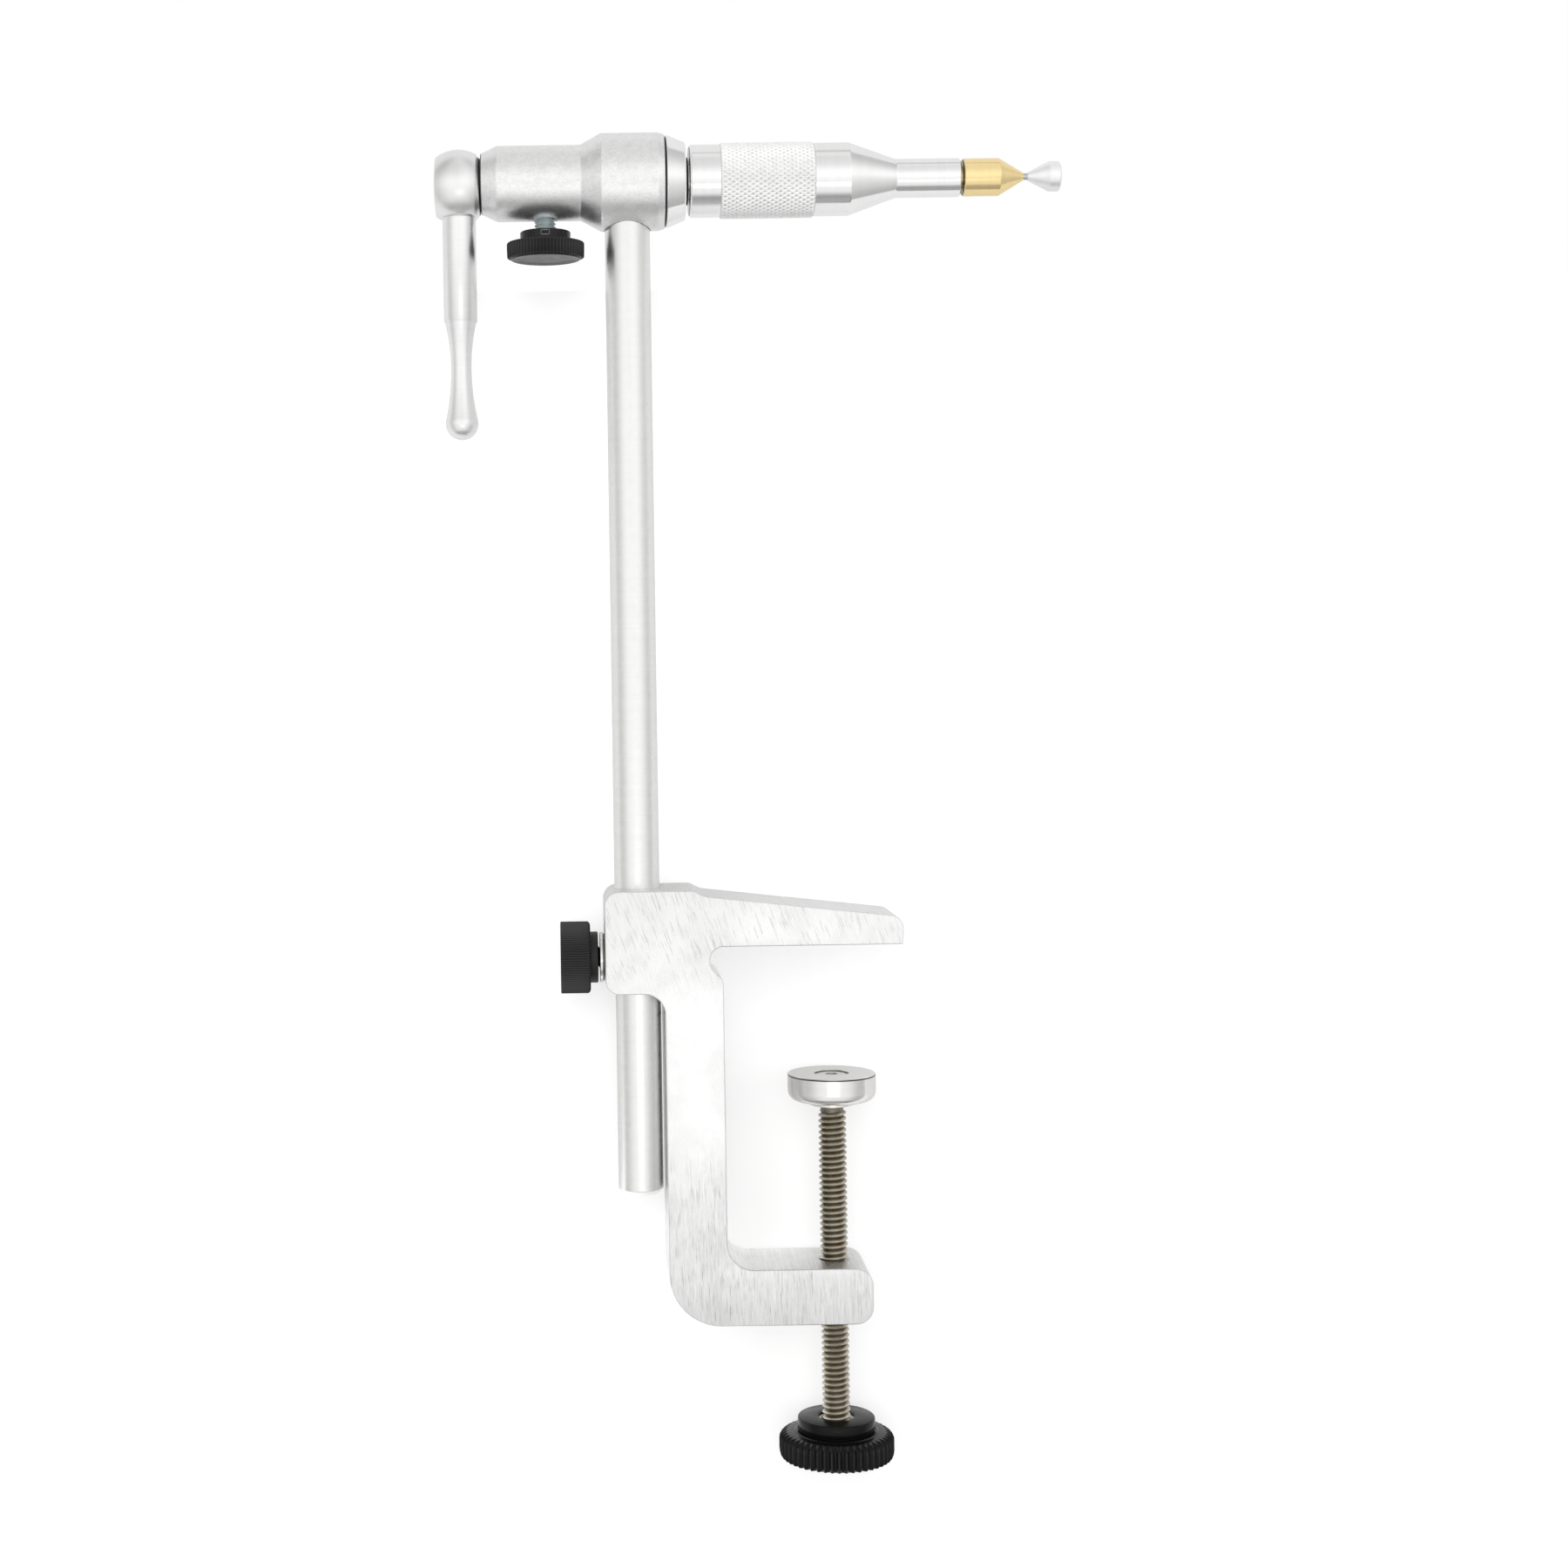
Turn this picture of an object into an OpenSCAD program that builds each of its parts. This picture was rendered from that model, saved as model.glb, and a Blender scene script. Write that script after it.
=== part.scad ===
// Rotary fly tying vise for tube flies, clamped to the edge of a table.
//
// Frame: the origin is on the axis of the clamp screw, on the face of the upper jaw that lies on the
// tabletop. +X runs along the head from the crank to the nose, +Z is up, and -Y faces the person tying.
// All sizes are in millimetres.

/* [Clamp frame] */
// Thickness of the frame, front to back
frame_w = 20; // [16:0.5:24]
// Left face of the block that holds the stem
block_x = -50.1; // [-52:0.1:-49.5]
// Top of the block
block_top = 12.35; // [11:0.05:14]
// Underside of the block
block_bottom = -10.2; // [-12:0.1:-9.5]
// Corner radius of the block
block_r = 3.1; // [1:0.1:4]
// Left face of the upright arm
arm_x0 = -37.1; // [-37.2:0.05:-36]
// Right face of the upright arm
arm_x1 = -24.3; // [-26:0.1:-22]
// Radius between the block and the upright arm
block_arm_r = 4.56; // [2:0.02:5]
// Where the flat top of the block ends and the jaw begins to fall
jaw_start_x = -30.6; // [-33:0.1:-29.5]
// Foot of the short ramp at the start of the jaw
jaw_ramp_x = -28.2; // [-28.8:0.1:-26]
// Height of the jaw at the foot of the ramp
jaw_ramp_z = 11.1; // [9:0.1:11.6]
// Height of the jaw at its tip, before the tip is rounded
jaw_tip_z = 6.1; // [5:0.1:8]
// Reach of the jaw past the screw axis
jaw_tip_x = 15.3; // [12:0.1:20]
// Radius on top of the jaw tip
jaw_tip_r = 3; // [1:0.1:4]
// Radius of the relief notch between the jaw and the upright arm
notch_r = 3.1; // [2:0.1:3.5]
// Where the relief notch meets the underside of the jaw
notch_x = -24.15; // [-24.5:0.05:-23.5]
// Inner face of the lower arm
lower_arm_top = -70.8; // [-90:0.1:-60]
// Thickness of the lower arm
lower_arm_h = 12.2; // [10:0.1:16]
// Reach of the lower arm past the screw axis
lower_arm_x = 7.5; // [6.5:0.1:14]
// Outer radius of the corner between the arms
corner_outer_r = 11.4; // [6:0.1:12]
// Inner radius of the corner between the arms
corner_inner_r = 5.8; // [2:0.1:8]
// Radius on the free end of the lower arm
lower_end_r = 3.8; // [1:0.1:5]

/* [Stem] */
// Diameter of the stem
stem_d = 10; // [8:0.1:10.2]
// Axis of the stem
stem_x = -42.7; // [-43:0.05:-42.5]
// Lower end of the stem
stem_bottom = -55.4; // [-120:0.1:-30]

/* [Stem lock] */
// Height of the locking screw
lock_z = -3; // [-4:0.1:6]
// Diameter of the fluted rim
lock_rim_d = 15.9; // [13:0.1:18]
// Length of the fluted rim
lock_rim_h = 6.6; // [4:0.1:9]
// Flutes on the rim
lock_flutes = 60; // [36:2:72]
// Diameter of the knob's hub
lock_hub_d = 11.35; // [9:0.05:12]
// Length of the knob's hub
lock_hub_h = 1.7; // [1:0.1:3]
// Gap between the hub and the washer
lock_hub_gap = 0.4; // [0.1:0.05:1]
// Outer diameter of the washer
lock_washer_d = 11.1; // [9:0.1:12.5]
// Thickness of the washer
lock_washer_h = 0.7; // [0.5:0.1:1.2]
// Gap between the washer and the block
lock_washer_gap = 0.35; // [0.1:0.05:1]

/* [Head housing] */
// Height of the head's axis
head_z = 169; // [140:0.5:180]
// Crank end of the housing
housing_x0 = -75.05; // [-76:0.05:-74.5]
// Diameter of the crank end face
housing_end_d = 13.2; // [12:0.1:15]
// Where the bevel at the crank end is full size
housing_bevel_x = -70.7; // [-72:0.1:-69]
// Diameter of the rear barrel
rear_barrel_d = 16.6; // [15:0.1:18]
// Where the rear barrel begins to widen
shoulder_x0 = -52.9; // [-54:0.1:-52]
// Where the front barrel is full size
shoulder_x1 = -48.4; // [-49:0.1:-48]
// Diameter of the front barrel
front_barrel_d = 21.5; // [20:0.1:24]
// Nose end of the housing
housing_x1 = -34.3; // [-35:0.1:-34.1]
// Length of the bevel at the nose end
front_bevel = 1.5; // [0.5:0.1:2]
// Outer diameter of the bushings
bushing_d = 10; // [9.5:0.1:10.2]
// Length of the rear bushing
rear_bushing_l = 10.5; // [6:0.1:11]
// Length of the front bushing
front_bushing_l = 13; // [8:0.1:14]
// Diameter of the set screw over the front bushing
set_screw_d = 3; // [2.5:0.1:4]
// How far the set screw stands above the barrel
set_screw_proud = 0.2; // [0:0.05:0.5]

/* [Drag screw] */
// Axis of the drag screw
drag_x = -60.9; // [-61.2:0.1:-60]
// Diameter of both thumbscrew studs
stud_d = 4.83; // [4:0.01:5]
// Top of the knob's hub
drag_hub_top = 158.2; // [157:0.1:159]
// Diameter of the knob's hub
drag_hub_d = 11.2; // [9:0.1:12]
// Height of the knob's hub
drag_hub_h = 2.4; // [1.5:0.1:3]
// Diameter of the fluted rim
drag_rim_d = 17.2; // [14:0.1:18]
// Height of the fluted rim
drag_rim_h = 3.8; // [3:0.1:6]
// Flutes on the rim
drag_flutes = 64; // [36:2:72]
// Height of the nylon pad under the shaft
drag_pad_h = 1.6; // [1:0.1:2]

/* [Rotor shaft] */
// Diameter of the shaft
shaft_d = 7.5; // [7:0.1:7.8]
// Bore along the shaft for long mandrels
shaft_bore_d = 3.2; // [2.8:0.1:4]
// End of the shaft inside the crank hub
shaft_x0 = -83; // [-83.5:0.1:-80]
// End of the shaft inside the mandrel holder
shaft_x1 = -14; // [-18:0.1:-10]
// Thickness of the thrust washers
thrust_h = 0.25; // [0.15:0.01:0.26]
// Diameter of the thrust washers
thrust_d = 10.6; // [9:0.1:12]

/* [Crank] */
// Radius of the hub's ball
hub_r = 8.2; // [7.8:0.1:9]
// Middle of the ball along the head
hub_x = -80; // [-80.2:0.1:-79.8]
// How far the ball's middle lies below the head's axis
hub_drop = 0.6; // [0:0.1:1]
// Outer face of the hub
hub_face_x = -85.5; // [-86:0.1:-84.8]
// Radius to which the outer face is crowned
hub_crown_r = 47; // [30:1:80]
// Flat under the hub that the handle seats on
hub_seat_z = 161.7; // [161.4:0.1:162.2]
// Diameter of the handle's straight part
handle_d = 7.4; // [6:0.1:8]
// Lower end of the straight part
handle_step_z = 138.5; // [130:0.1:145]
// Step at the end of the straight part
handle_step = 0.2; // [0.1:0.05:0.5]
// Diameter of the waist
waist_d = 4.56; // [3.5:0.02:5.5]
// Height of the waist
waist_z = 128.3; // [126:0.1:129]
// Diameter of the ball end
ball_d = 7.3; // [6.5:0.1:8.5]
// Lower end of the handle
handle_bottom = 112.3; // [110:0.1:114]

/* [Mandrel holder] */
// Collar face beside the housing
collar_x0 = -34; // [-34:0.05:-33.9]
// Collar face beside the rubber ring
collar_x1 = -29.8; // [-30.5:0.1:-29.5]
// Large diameter of the collar
collar_d0 = 20.65; // [18:0.05:21.5]
// Small diameter of the collar
collar_d1 = 17.2; // [15:0.1:18]
// Diameter of the rubber ring
ring_d = 10.4; // [9.5:0.1:13]
// Rear face of the holder
holder_x0 = -28.95; // [-29.1:0.05:-28.6]
// Diameter of the holder's plain rear part
holder_rear_d = 15.9; // [14:0.1:16.4]
// Start of the knurled band
knurl_x0 = -22.1; // [-24:0.1:-20]
// End of the knurled band
knurl_x1 = -1.35; // [-4:0.05:0]
// Diameter over the knurled band
knurl_d = 16.6; // [16:0.1:18]
// Diameter of the holder's plain front part
holder_front_d = 16; // [14:0.1:16.4]
// Where the holder's cone begins
cone_x0 = 6.4; // [4:0.1:9]
// Where the holder's cone ends
cone_x1 = 16.9; // [14:0.1:20]
// Diameter of the slender front
snout_d = 8.5; // [8:0.1:9.5]
// Front face of the holder
holder_x1 = 31.2; // [31:0.1:31.6]

/* [Collet and nose] */
// Diameter of the collet
collet_d = 5.8; // [5.4:0.05:5.9]
// Rear end of the collet
collet_x0 = 9.5; // [9:0.1:12]
// Where the collet begins to taper
collet_taper_x = 25.2; // [24.5:0.1:25.5]
// Front end of the collet
collet_x1 = 26.4; // [26.1:0.1:26.6]
// Diameter at the collet's front end
collet_front_d = 3.4; // [3:0.1:3.6]
// Where the saw slits begin
slit_x = 17.6; // [14:0.1:20]
// Width of the saw slits
slit_w = 0.5; // [0.3:0.05:0.8]
// Thread diameter of the nose
nose_thread_d = 5.9; // [5.5:0.05:5.95]
// Rear face of the nose's shoulder
nose_x0 = 31.8; // [31.7:0.1:32.2]
// Diameter of the nose
nose_d = 8.3; // [7.5:0.1:9]
// Where the nose's cone begins
nose_cone_x = 39.8; // [37:0.1:42]
// Tip of the nose
nose_x1 = 45.3; // [44:0.1:46]
// Diameter at the tip of the nose
nose_tip_d = 1.8; // [1.7:0.05:2.4]

/* [Mandrel] */
// Diameter of the mandrel pin
mandrel_d = 1.5; // [0.8:0.1:1.5]
// Rear end of the pin, inside the hollow shaft
mandrel_x0 = -54; // [-80:1:0]
// Tip of the stop's cone
stop_x0 = 46.3; // [46:0.1:50]
// Length of the stop's cone
stop_cone_l = 4.75; // [3:0.05:6]
// Diameter of the stop's rim
stop_d = 6.6; // [5:0.1:8]
// Length of the stop's rim
stop_rim_l = 2.4; // [1.5:0.1:4]

/* [Clamp screw] */
// Thread diameter of the clamp screw
screw_d = 6.24; // [5.8:0.02:7]
// Top face of the pressure pad, set for a tabletop of this depth
pad_top = -29.5; // [-50:0.5:-20]
// Diameter of the pressure pad
pad_d = 19.5; // [16:0.1:22]
// Height of the pressure pad
pad_h = 6; // [5:0.1:7]
// Radius on the pad's lower edge
pad_edge_r = 2.2; // [1:0.1:3]
// Diameter of the recess in the pad
recess_d = 7.9; // [7:0.1:9]
// Depth of the recess in the pad
recess_h = 2.2; // [2:0.1:2.6]
// Top of the clamp knob's hub
knob_top = -105.9; // [-115:0.1:-100]
// Diameter of the clamp knob's hub
knob_hub_d = 17.3; // [14:0.1:19]
// Height of the clamp knob's hub
knob_hub_h = 2.8; // [2:0.1:4]
// Diameter of the clamp knob's rim
knob_rim_d = 25.5; // [22:0.1:30]
// Height of the clamp knob's rim
knob_rim_h = 5.7; // [4:0.1:8]
// Flutes on the clamp knob
knob_flutes = 56; // [36:2:72]

/* [Hidden] */
$fn = 96;

// Fits
running = 0.05;          // radial clearance of what turns or slides
shaft_play = 0.04;       // radial clearance of the shaft in its bushings
pin_play = 0.02;         // radial clearance of the mandrel pin
cut = 0.5;               // how far a cutter runs past the face it opens
arc_step = 6;            // degrees between the points of a rounded corner
deburr = 0.3;            // small bevel on turned edges

// Clamp frame
lower_arm_bottom = lower_arm_top - lower_arm_h;
notch_reach = notch_r * tan(67.5);            // from the notch's corner to its tangent points
notch_corner_x = notch_x - notch_reach;
arm_shoulder_z = notch_corner_x - arm_x1;     // where the 45 degree face meets the arm
arm_shoulder_r = 2.6;
ramp_top_r = 2;
ramp_foot_r = 4;
jaw_edge_r = 0.4;
frame_outline = [
    [block_x, block_top, block_r],
    [jaw_start_x, block_top, ramp_top_r],
    [jaw_ramp_x, jaw_ramp_z, ramp_foot_r],
    [jaw_tip_x, jaw_tip_z, jaw_tip_r],
    [jaw_tip_x - 0.2, 0, jaw_edge_r],
    [notch_corner_x, 0, notch_r],
    [arm_x1, arm_shoulder_z, arm_shoulder_r],
    [arm_x1, lower_arm_top, corner_inner_r],
    [lower_arm_x, lower_arm_top, lower_end_r],
    [lower_arm_x, lower_arm_bottom, lower_end_r],
    [arm_x0, lower_arm_bottom, corner_outer_r],
    [arm_x0, block_bottom, block_arm_r],
    [block_x, block_bottom, block_r]
];

// Head
set_screw_top = head_z + front_barrel_d / 2 + set_screw_proud;
set_screw_key = 1.7;                          // across the corners of its hexagon socket, and its depth

// Stem and its lock
stem_top = head_z - bushing_d / 2 - 0.8;
lock_washer_x = block_x - lock_washer_gap - lock_washer_h;
lock_hub_x = lock_washer_x - lock_hub_gap;
lock_rim_x = lock_hub_x - lock_hub_h;
lock_knob_x = lock_rim_x - lock_rim_h;
lock_stud_x = lock_knob_x + 1.2;
lock_tip_x = stem_x - stem_d / 2 - running;

// Drag screw
drag_pad_top = head_z - shaft_d / 2 - running;
drag_tip_z = drag_pad_top - drag_pad_h;
drag_rim_top = drag_hub_top - drag_hub_h;
drag_knob_bottom = drag_rim_top - drag_rim_h;
drag_stud_bottom = drag_knob_bottom + 1.2;
drag_mark = [2.2, 0.7, 1.2];                  // moulded pocket in the hub, width, depth, height

// Crank
hub_z = head_z - hub_drop;
hub_back_x = housing_x0 - running - thrust_h;
hub_back_r = 6.15;
hub_bevel = 0.8;
spigot_d = 5;
spigot_top = head_z - shaft_d / 2 - 0.5;
ball_r = ball_d / 2;
ball_z = handle_bottom + ball_r;
waist_r = waist_d / 2;
waist_top_r = handle_d / 2 - handle_step;
// Radius of the hollow above the waist, through the waist and the step
hollow_upper_r = (pow(handle_step_z - waist_z, 2) + pow(waist_top_r - waist_r, 2))
    / (2 * (waist_top_r - waist_r));
// Radius of the hollow below the waist, tangent to the ball end
hollow_lower_r = (pow(waist_z - ball_z, 2) + pow(waist_r, 2) - pow(ball_r, 2)) / (2 * (ball_r - waist_r));
ball_meet_z = ball_z + ball_r * (waist_z - ball_z) / (hollow_lower_r + ball_r);
ball_meet_r = ball_r * (waist_r + hollow_lower_r) / (hollow_lower_r + ball_r);

// Mandrel holder, collet and nose
chamber_d = 2 * (nose_thread_d / 2 + running);
holder_bore_d = 4;
grip_d = mandrel_d + 2 * pin_play;
collet_bore_x = 20;
collet_bore_d = 4;
collet_slit_d = collet_d - 0.2;
collet_slope = (collet_slit_d - collet_front_d) / (collet_x1 - collet_taper_x);
relief_d = 4.8;
relief_l = 1.8;
mouth_gap = 0.05;
mouth_x0 = collet_taper_x + mouth_gap;
mouth_x1 = mouth_x0 + (collet_slit_d - grip_d) / collet_slope;
stop_rim_x = stop_x0 + stop_cone_l;
stop_x1 = stop_rim_x + stop_rim_l;
pin_x1 = stop_rim_x;

// Clamp screw
pad_bottom = pad_top - pad_h;
boss_d = 9.8;
boss_h = 1;
boss_bottom = pad_bottom - boss_h;
recess_floor = pad_top - recess_h;
journal_d = 4.8;
journal_top = recess_floor + running;
neck_d = 5.4;
neck_h = 0.65;
screw_shoulder = boss_bottom - running;
pad_screw_d = 3;
pad_screw_l = 6.8;
pad_screw_head_d = 6.4;
pad_screw_head_h = 1.9;
pad_screw_key = 2.9;                          // across the corners of its hexagon socket
rim_gap = 0.6;                                // neck between the clamp knob's hub and rim
rim_top = knob_top - knob_hub_h - rim_gap;
knob_bottom = rim_top - knob_rim_h;
knob_dish = [9, 16, 0.8];                     // ring-shaped dish underneath, inner, outer, depth
insert_d = 7.9;
insert_sunk = 0.4;
screw_bottom = knob_bottom + 2.4;

// ---- Shared shapes ----

function unit(v) = v / norm(v);

function flat(p) = [p[0], p[1]];

// Angle from one direction to another, the short way round
function sweep(from, to) = (to - from + 540) % 360 - 180;

// Points of the arc of radius r that rounds the corner at one point between its two neighbours
function corner_arc(before, at, after, r) =
    let (
        u = unit(before - at),
        v = unit(after - at),
        half = acos(u * v) / 2,
        middle = at + unit(u + v) * (r / sin(half)),
        first = at + u * (r / tan(half)) - middle,
        last = at + v * (r / tan(half)) - middle,
        start = atan2(first[1], first[0]),
        turn = sweep(start, atan2(last[1], last[0])),
        steps = ceil(abs(turn) / arc_step)
    )
    [for (i = [0 : steps]) middle + r * [cos(start + turn * i / steps), sin(start + turn * i / steps)]];

// Closed outline with rounded corners, from points [x, z, radius]
function rounded_outline(points) =
    let (n = len(points))
    [for (i = [0 : n - 1])
        each corner_arc(
            flat(points[(i + n - 1) % n]), flat(points[i]), flat(points[(i + 1) % n]), points[i][2])];

// Half section of a turned piece, from stations [place along the axis, diameter]
function half_section(stations) = concat(
    [[0, stations[0][0]]],
    [for (s = stations) [s[1] / 2, s[0]]],
    [[0, stations[len(stations) - 1][0]]]
);

module turned(stations) rotate_extrude() polygon(half_section(stations));

// Puts the +Z axis of its children on the head's axis, along +X
module on_head_axis() translate([0, 0, head_z]) rotate([0, 90, 0]) children();

// Bored from one place along the axis to another
module bored(from, to, d) translate([0, 0, from]) cylinder(d = d, h = to - from);

// Moulded rim with fine flutes, standing on z = 0
module fluted_rim(d, h, flutes, bevel) {
    flute_r = 0.32 * PI * d / flutes;
    difference() {
        turned([[0, d - 2.6 * bevel], [bevel, d - 0.4 * bevel], [h - bevel, d], [h, d - 1.4 * bevel]]);
        for (i = [0 : flutes - 1])
            rotate(i * 360 / flutes)
                translate([d / 2 + 0.3 * flute_r, 0, -cut])
                    cylinder(r = flute_r, h = h + 2 * cut, $fn = 24);
    }
}

// ---- Clamp ----

module clamp_frame() color([0.80, 0.80, 0.79]) difference() {
    rotate([90, 0, 0])
        linear_extrude(frame_w, center = true)
            polygon(rounded_outline(frame_outline));
    translate([stem_x, 0, block_bottom - block_arm_r - cut])
        cylinder(d = stem_d + 2 * running, h = block_top - block_bottom + block_arm_r + 2 * cut);
    translate([0, 0, lower_arm_bottom - cut])
        cylinder(d = screw_d + 2 * running, h = lower_arm_h + 2 * cut);
    translate([block_x - cut, 0, lock_z])
        rotate([0, 90, 0])
            cylinder(d = stud_d + 2 * running, h = stem_x - block_x + cut);
}

module pressure_pad() color([0.85, 0.85, 0.85]) difference() {
    union() {
        rotate_extrude() difference() {
            translate([0, pad_bottom]) square([pad_d / 2, pad_h]);
            translate([pad_d / 2 - pad_edge_r, pad_bottom - cut]) difference() {
                square([pad_edge_r + cut, pad_edge_r + cut]);
                translate([0, pad_edge_r + cut]) circle(r = pad_edge_r);
            }
        }
        bored(boss_bottom, pad_bottom, boss_d);
    }
    bored(boss_bottom - cut, pad_top, journal_d + 2 * running);
    bored(recess_floor, pad_top + cut, recess_d);
}

module pad_screw() color([0.55, 0.55, 0.57]) difference() {
    turned([
        [journal_top - pad_screw_l, pad_screw_d],
        [journal_top, pad_screw_d],
        [journal_top, pad_screw_head_d],
        [journal_top + pad_screw_head_h - deburr, pad_screw_head_d],
        [journal_top + pad_screw_head_h, pad_screw_head_d - 2 * deburr]
    ]);
    translate([0, 0, journal_top + pad_screw_head_h / 2])
        cylinder(d = pad_screw_key, h = pad_screw_head_h, $fn = 6);
}

module clamp_screw() color([0.45, 0.42, 0.38]) difference() {
    turned([
        [screw_bottom, screw_d - 4 * deburr],
        [screw_bottom + 2 * deburr, screw_d],
        [screw_shoulder - neck_h - deburr, screw_d],
        [screw_shoulder - neck_h, neck_d],
        [screw_shoulder, neck_d],
        [screw_shoulder, journal_d],
        [journal_top, journal_d]
    ]);
    bored(journal_top - pad_screw_l, journal_top + cut, pad_screw_d);
}

module clamp_knob() color([0.10, 0.10, 0.11]) difference() {
    union() {
        turned([
            [rim_top, knob_hub_d - 1.6],
            [rim_top + rim_gap, knob_hub_d - 1],
            [rim_top + rim_gap, knob_hub_d],
            [knob_top - deburr, knob_hub_d - 0.3],
            [knob_top, knob_hub_d - 3 * deburr]
        ]);
        translate([0, 0, knob_bottom]) fluted_rim(knob_rim_d, knob_rim_h, knob_flutes, 0.9);
    }
    bored(screw_bottom, knob_top + cut, insert_d);
    translate([0, 0, knob_bottom]) rotate_extrude()
        translate([knob_dish[0] / 2, -cut]) square([(knob_dish[1] - knob_dish[0]) / 2, knob_dish[2] + cut]);
}

module knob_insert() color([0.62, 0.62, 0.64]) difference() {
    bored(screw_bottom, knob_top - insert_sunk, insert_d);
    bored(screw_bottom - cut, knob_top, screw_d);
}

// ---- Stem and its lock ----

module stem() color([0.74, 0.74, 0.75]) translate([stem_x, 0, 0])
    turned([
        [stem_bottom, stem_d - 2],
        [stem_bottom + 1, stem_d],
        [stem_top - deburr, stem_d],
        [stem_top, stem_d - 2 * deburr]
    ]);

// Puts the +Z axis of its children on the locking screw's axis, along +X
module on_lock_axis() translate([0, 0, lock_z]) rotate([0, 90, 0]) children();

module lock_washer() color([0.86, 0.86, 0.87]) on_lock_axis() difference() {
    bored(lock_washer_x, lock_washer_x + lock_washer_h, lock_washer_d);
    bored(lock_washer_x - cut, lock_washer_x + lock_washer_h + cut, stud_d + 2 * running);
}

module lock_stud() color([0.55, 0.56, 0.57]) on_lock_axis()
    turned([
        [lock_stud_x, stud_d],
        [lock_tip_x - deburr, stud_d],
        [lock_tip_x, stud_d - 2 * deburr]
    ]);

module lock_knob() color([0.10, 0.10, 0.11]) on_lock_axis() difference() {
    union() {
        translate([0, 0, lock_knob_x]) fluted_rim(lock_rim_d, lock_rim_h, lock_flutes, 0.5);
        turned([
            [lock_rim_x, lock_hub_d],
            [lock_hub_x - deburr, lock_hub_d],
            [lock_hub_x, lock_hub_d - 2 * deburr]
        ]);
    }
    bored(lock_stud_x, lock_hub_x + cut, stud_d);
}

// ---- Head ----

module head_housing() color([0.72, 0.73, 0.74]) difference() {
    on_head_axis() turned([
        [housing_x0, housing_end_d],
        [housing_bevel_x, rear_barrel_d],
        [shoulder_x0, rear_barrel_d],
        [shoulder_x1, front_barrel_d],
        [housing_x1 - front_bevel, front_barrel_d],
        [housing_x1, front_barrel_d - 0.8]
    ]);
    on_head_axis() bored(housing_x0 - cut, housing_x1 + cut, bushing_d);
    translate([stem_x, 0, 0])
        bored(head_z - front_barrel_d, stem_top + running, stem_d + 2 * running);
    translate([drag_x, 0, 0]) bored(head_z - front_barrel_d, head_z, stud_d + 2 * running);
    translate([stem_x, 0, 0]) bored(head_z, head_z + front_barrel_d, set_screw_d);
}

module bushing(from, to) color([0.70, 0.52, 0.30]) on_head_axis() difference() {
    bored(from, to, bushing_d);
    bored(from - cut, to + cut, shaft_d + 2 * shaft_play);
}

module rear_bushing() bushing(housing_x0, housing_x0 + rear_bushing_l);

module front_bushing() bushing(housing_x1 - front_bushing_l, housing_x1);

module bearing_set_screw() color([0.45, 0.46, 0.48]) translate([stem_x, 0, 0]) difference() {
    turned([
        [head_z + bushing_d / 2, set_screw_d],
        [set_screw_top - deburr, set_screw_d],
        [set_screw_top, set_screw_d - 2 * deburr]
    ]);
    translate([0, 0, set_screw_top - set_screw_key])
        cylinder(d = set_screw_key, h = 2 * set_screw_key, $fn = 6);
}

module drag_pad() color([0.90, 0.89, 0.84]) translate([drag_x, 0, 0])
    turned([[drag_tip_z, stud_d - 0.2], [drag_pad_top, stud_d - 0.2]]);

module drag_stud() color([0.60, 0.64, 0.65]) translate([drag_x, 0, 0])
    turned([
        [drag_stud_bottom, stud_d],
        [drag_tip_z - deburr, stud_d],
        [drag_tip_z, stud_d - 2 * deburr]
    ]);

module drag_knob() color([0.10, 0.10, 0.11]) translate([drag_x, 0, 0]) difference() {
    union() {
        translate([0, 0, drag_knob_bottom]) fluted_rim(drag_rim_d, drag_rim_h, drag_flutes, 0.6);
        turned([
            [drag_rim_top, drag_hub_d],
            [drag_hub_top - deburr, drag_hub_d],
            [drag_hub_top, drag_hub_d - 2 * deburr]
        ]);
    }
    bored(drag_stud_bottom, drag_hub_top + cut, stud_d);
    translate([0, -drag_hub_d / 2, drag_hub_top - drag_mark[2] / 2 - deburr])
        cube(drag_mark, center = true);
}

// ---- Rotor ----

module rotor_shaft() color([0.76, 0.76, 0.77]) on_head_axis() difference() {
    turned([
        [shaft_x0, shaft_d],
        [shaft_x1 - deburr, shaft_d],
        [shaft_x1, shaft_d - 2 * deburr]
    ]);
    bored(shaft_x0 - cut, shaft_x1 + cut, shaft_bore_d);
}

module thrust_washers() color([0.20, 0.20, 0.21]) on_head_axis() {
    for (x = [hub_back_x, collar_x0 - thrust_h]) difference() {
        bored(x, x + thrust_h, thrust_d);
        bored(x - cut, x + thrust_h + cut, shaft_d);
    }
}

module crank_hub() color([0.84, 0.84, 0.84]) difference() {
    translate([0, 0, hub_z]) rotate([0, 90, 0]) rotate_extrude() intersection() {
        translate([0, hub_x]) circle(r = hub_r);
        translate([0, hub_face_x + hub_crown_r]) circle(r = hub_crown_r, $fn = 720);
        polygon([
            [0, hub_face_x - 1],
            [hub_r + 1, hub_face_x - 1],
            [hub_r + 1, hub_x],
            [hub_back_r + hub_bevel, hub_back_x - hub_bevel],
            [hub_back_r, hub_back_x],
            [0, hub_back_x]
        ]);
    }
    translate([hub_x, 0, hub_seat_z - hub_r])
        cube([3 * hub_r, 3 * hub_r, 2 * hub_r], center = true);
    on_head_axis() bored(shaft_x0, hub_back_x + cut, shaft_d);
    translate([hub_x, 0, 0]) bored(hub_seat_z - cut, spigot_top, spigot_d);
}

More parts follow.
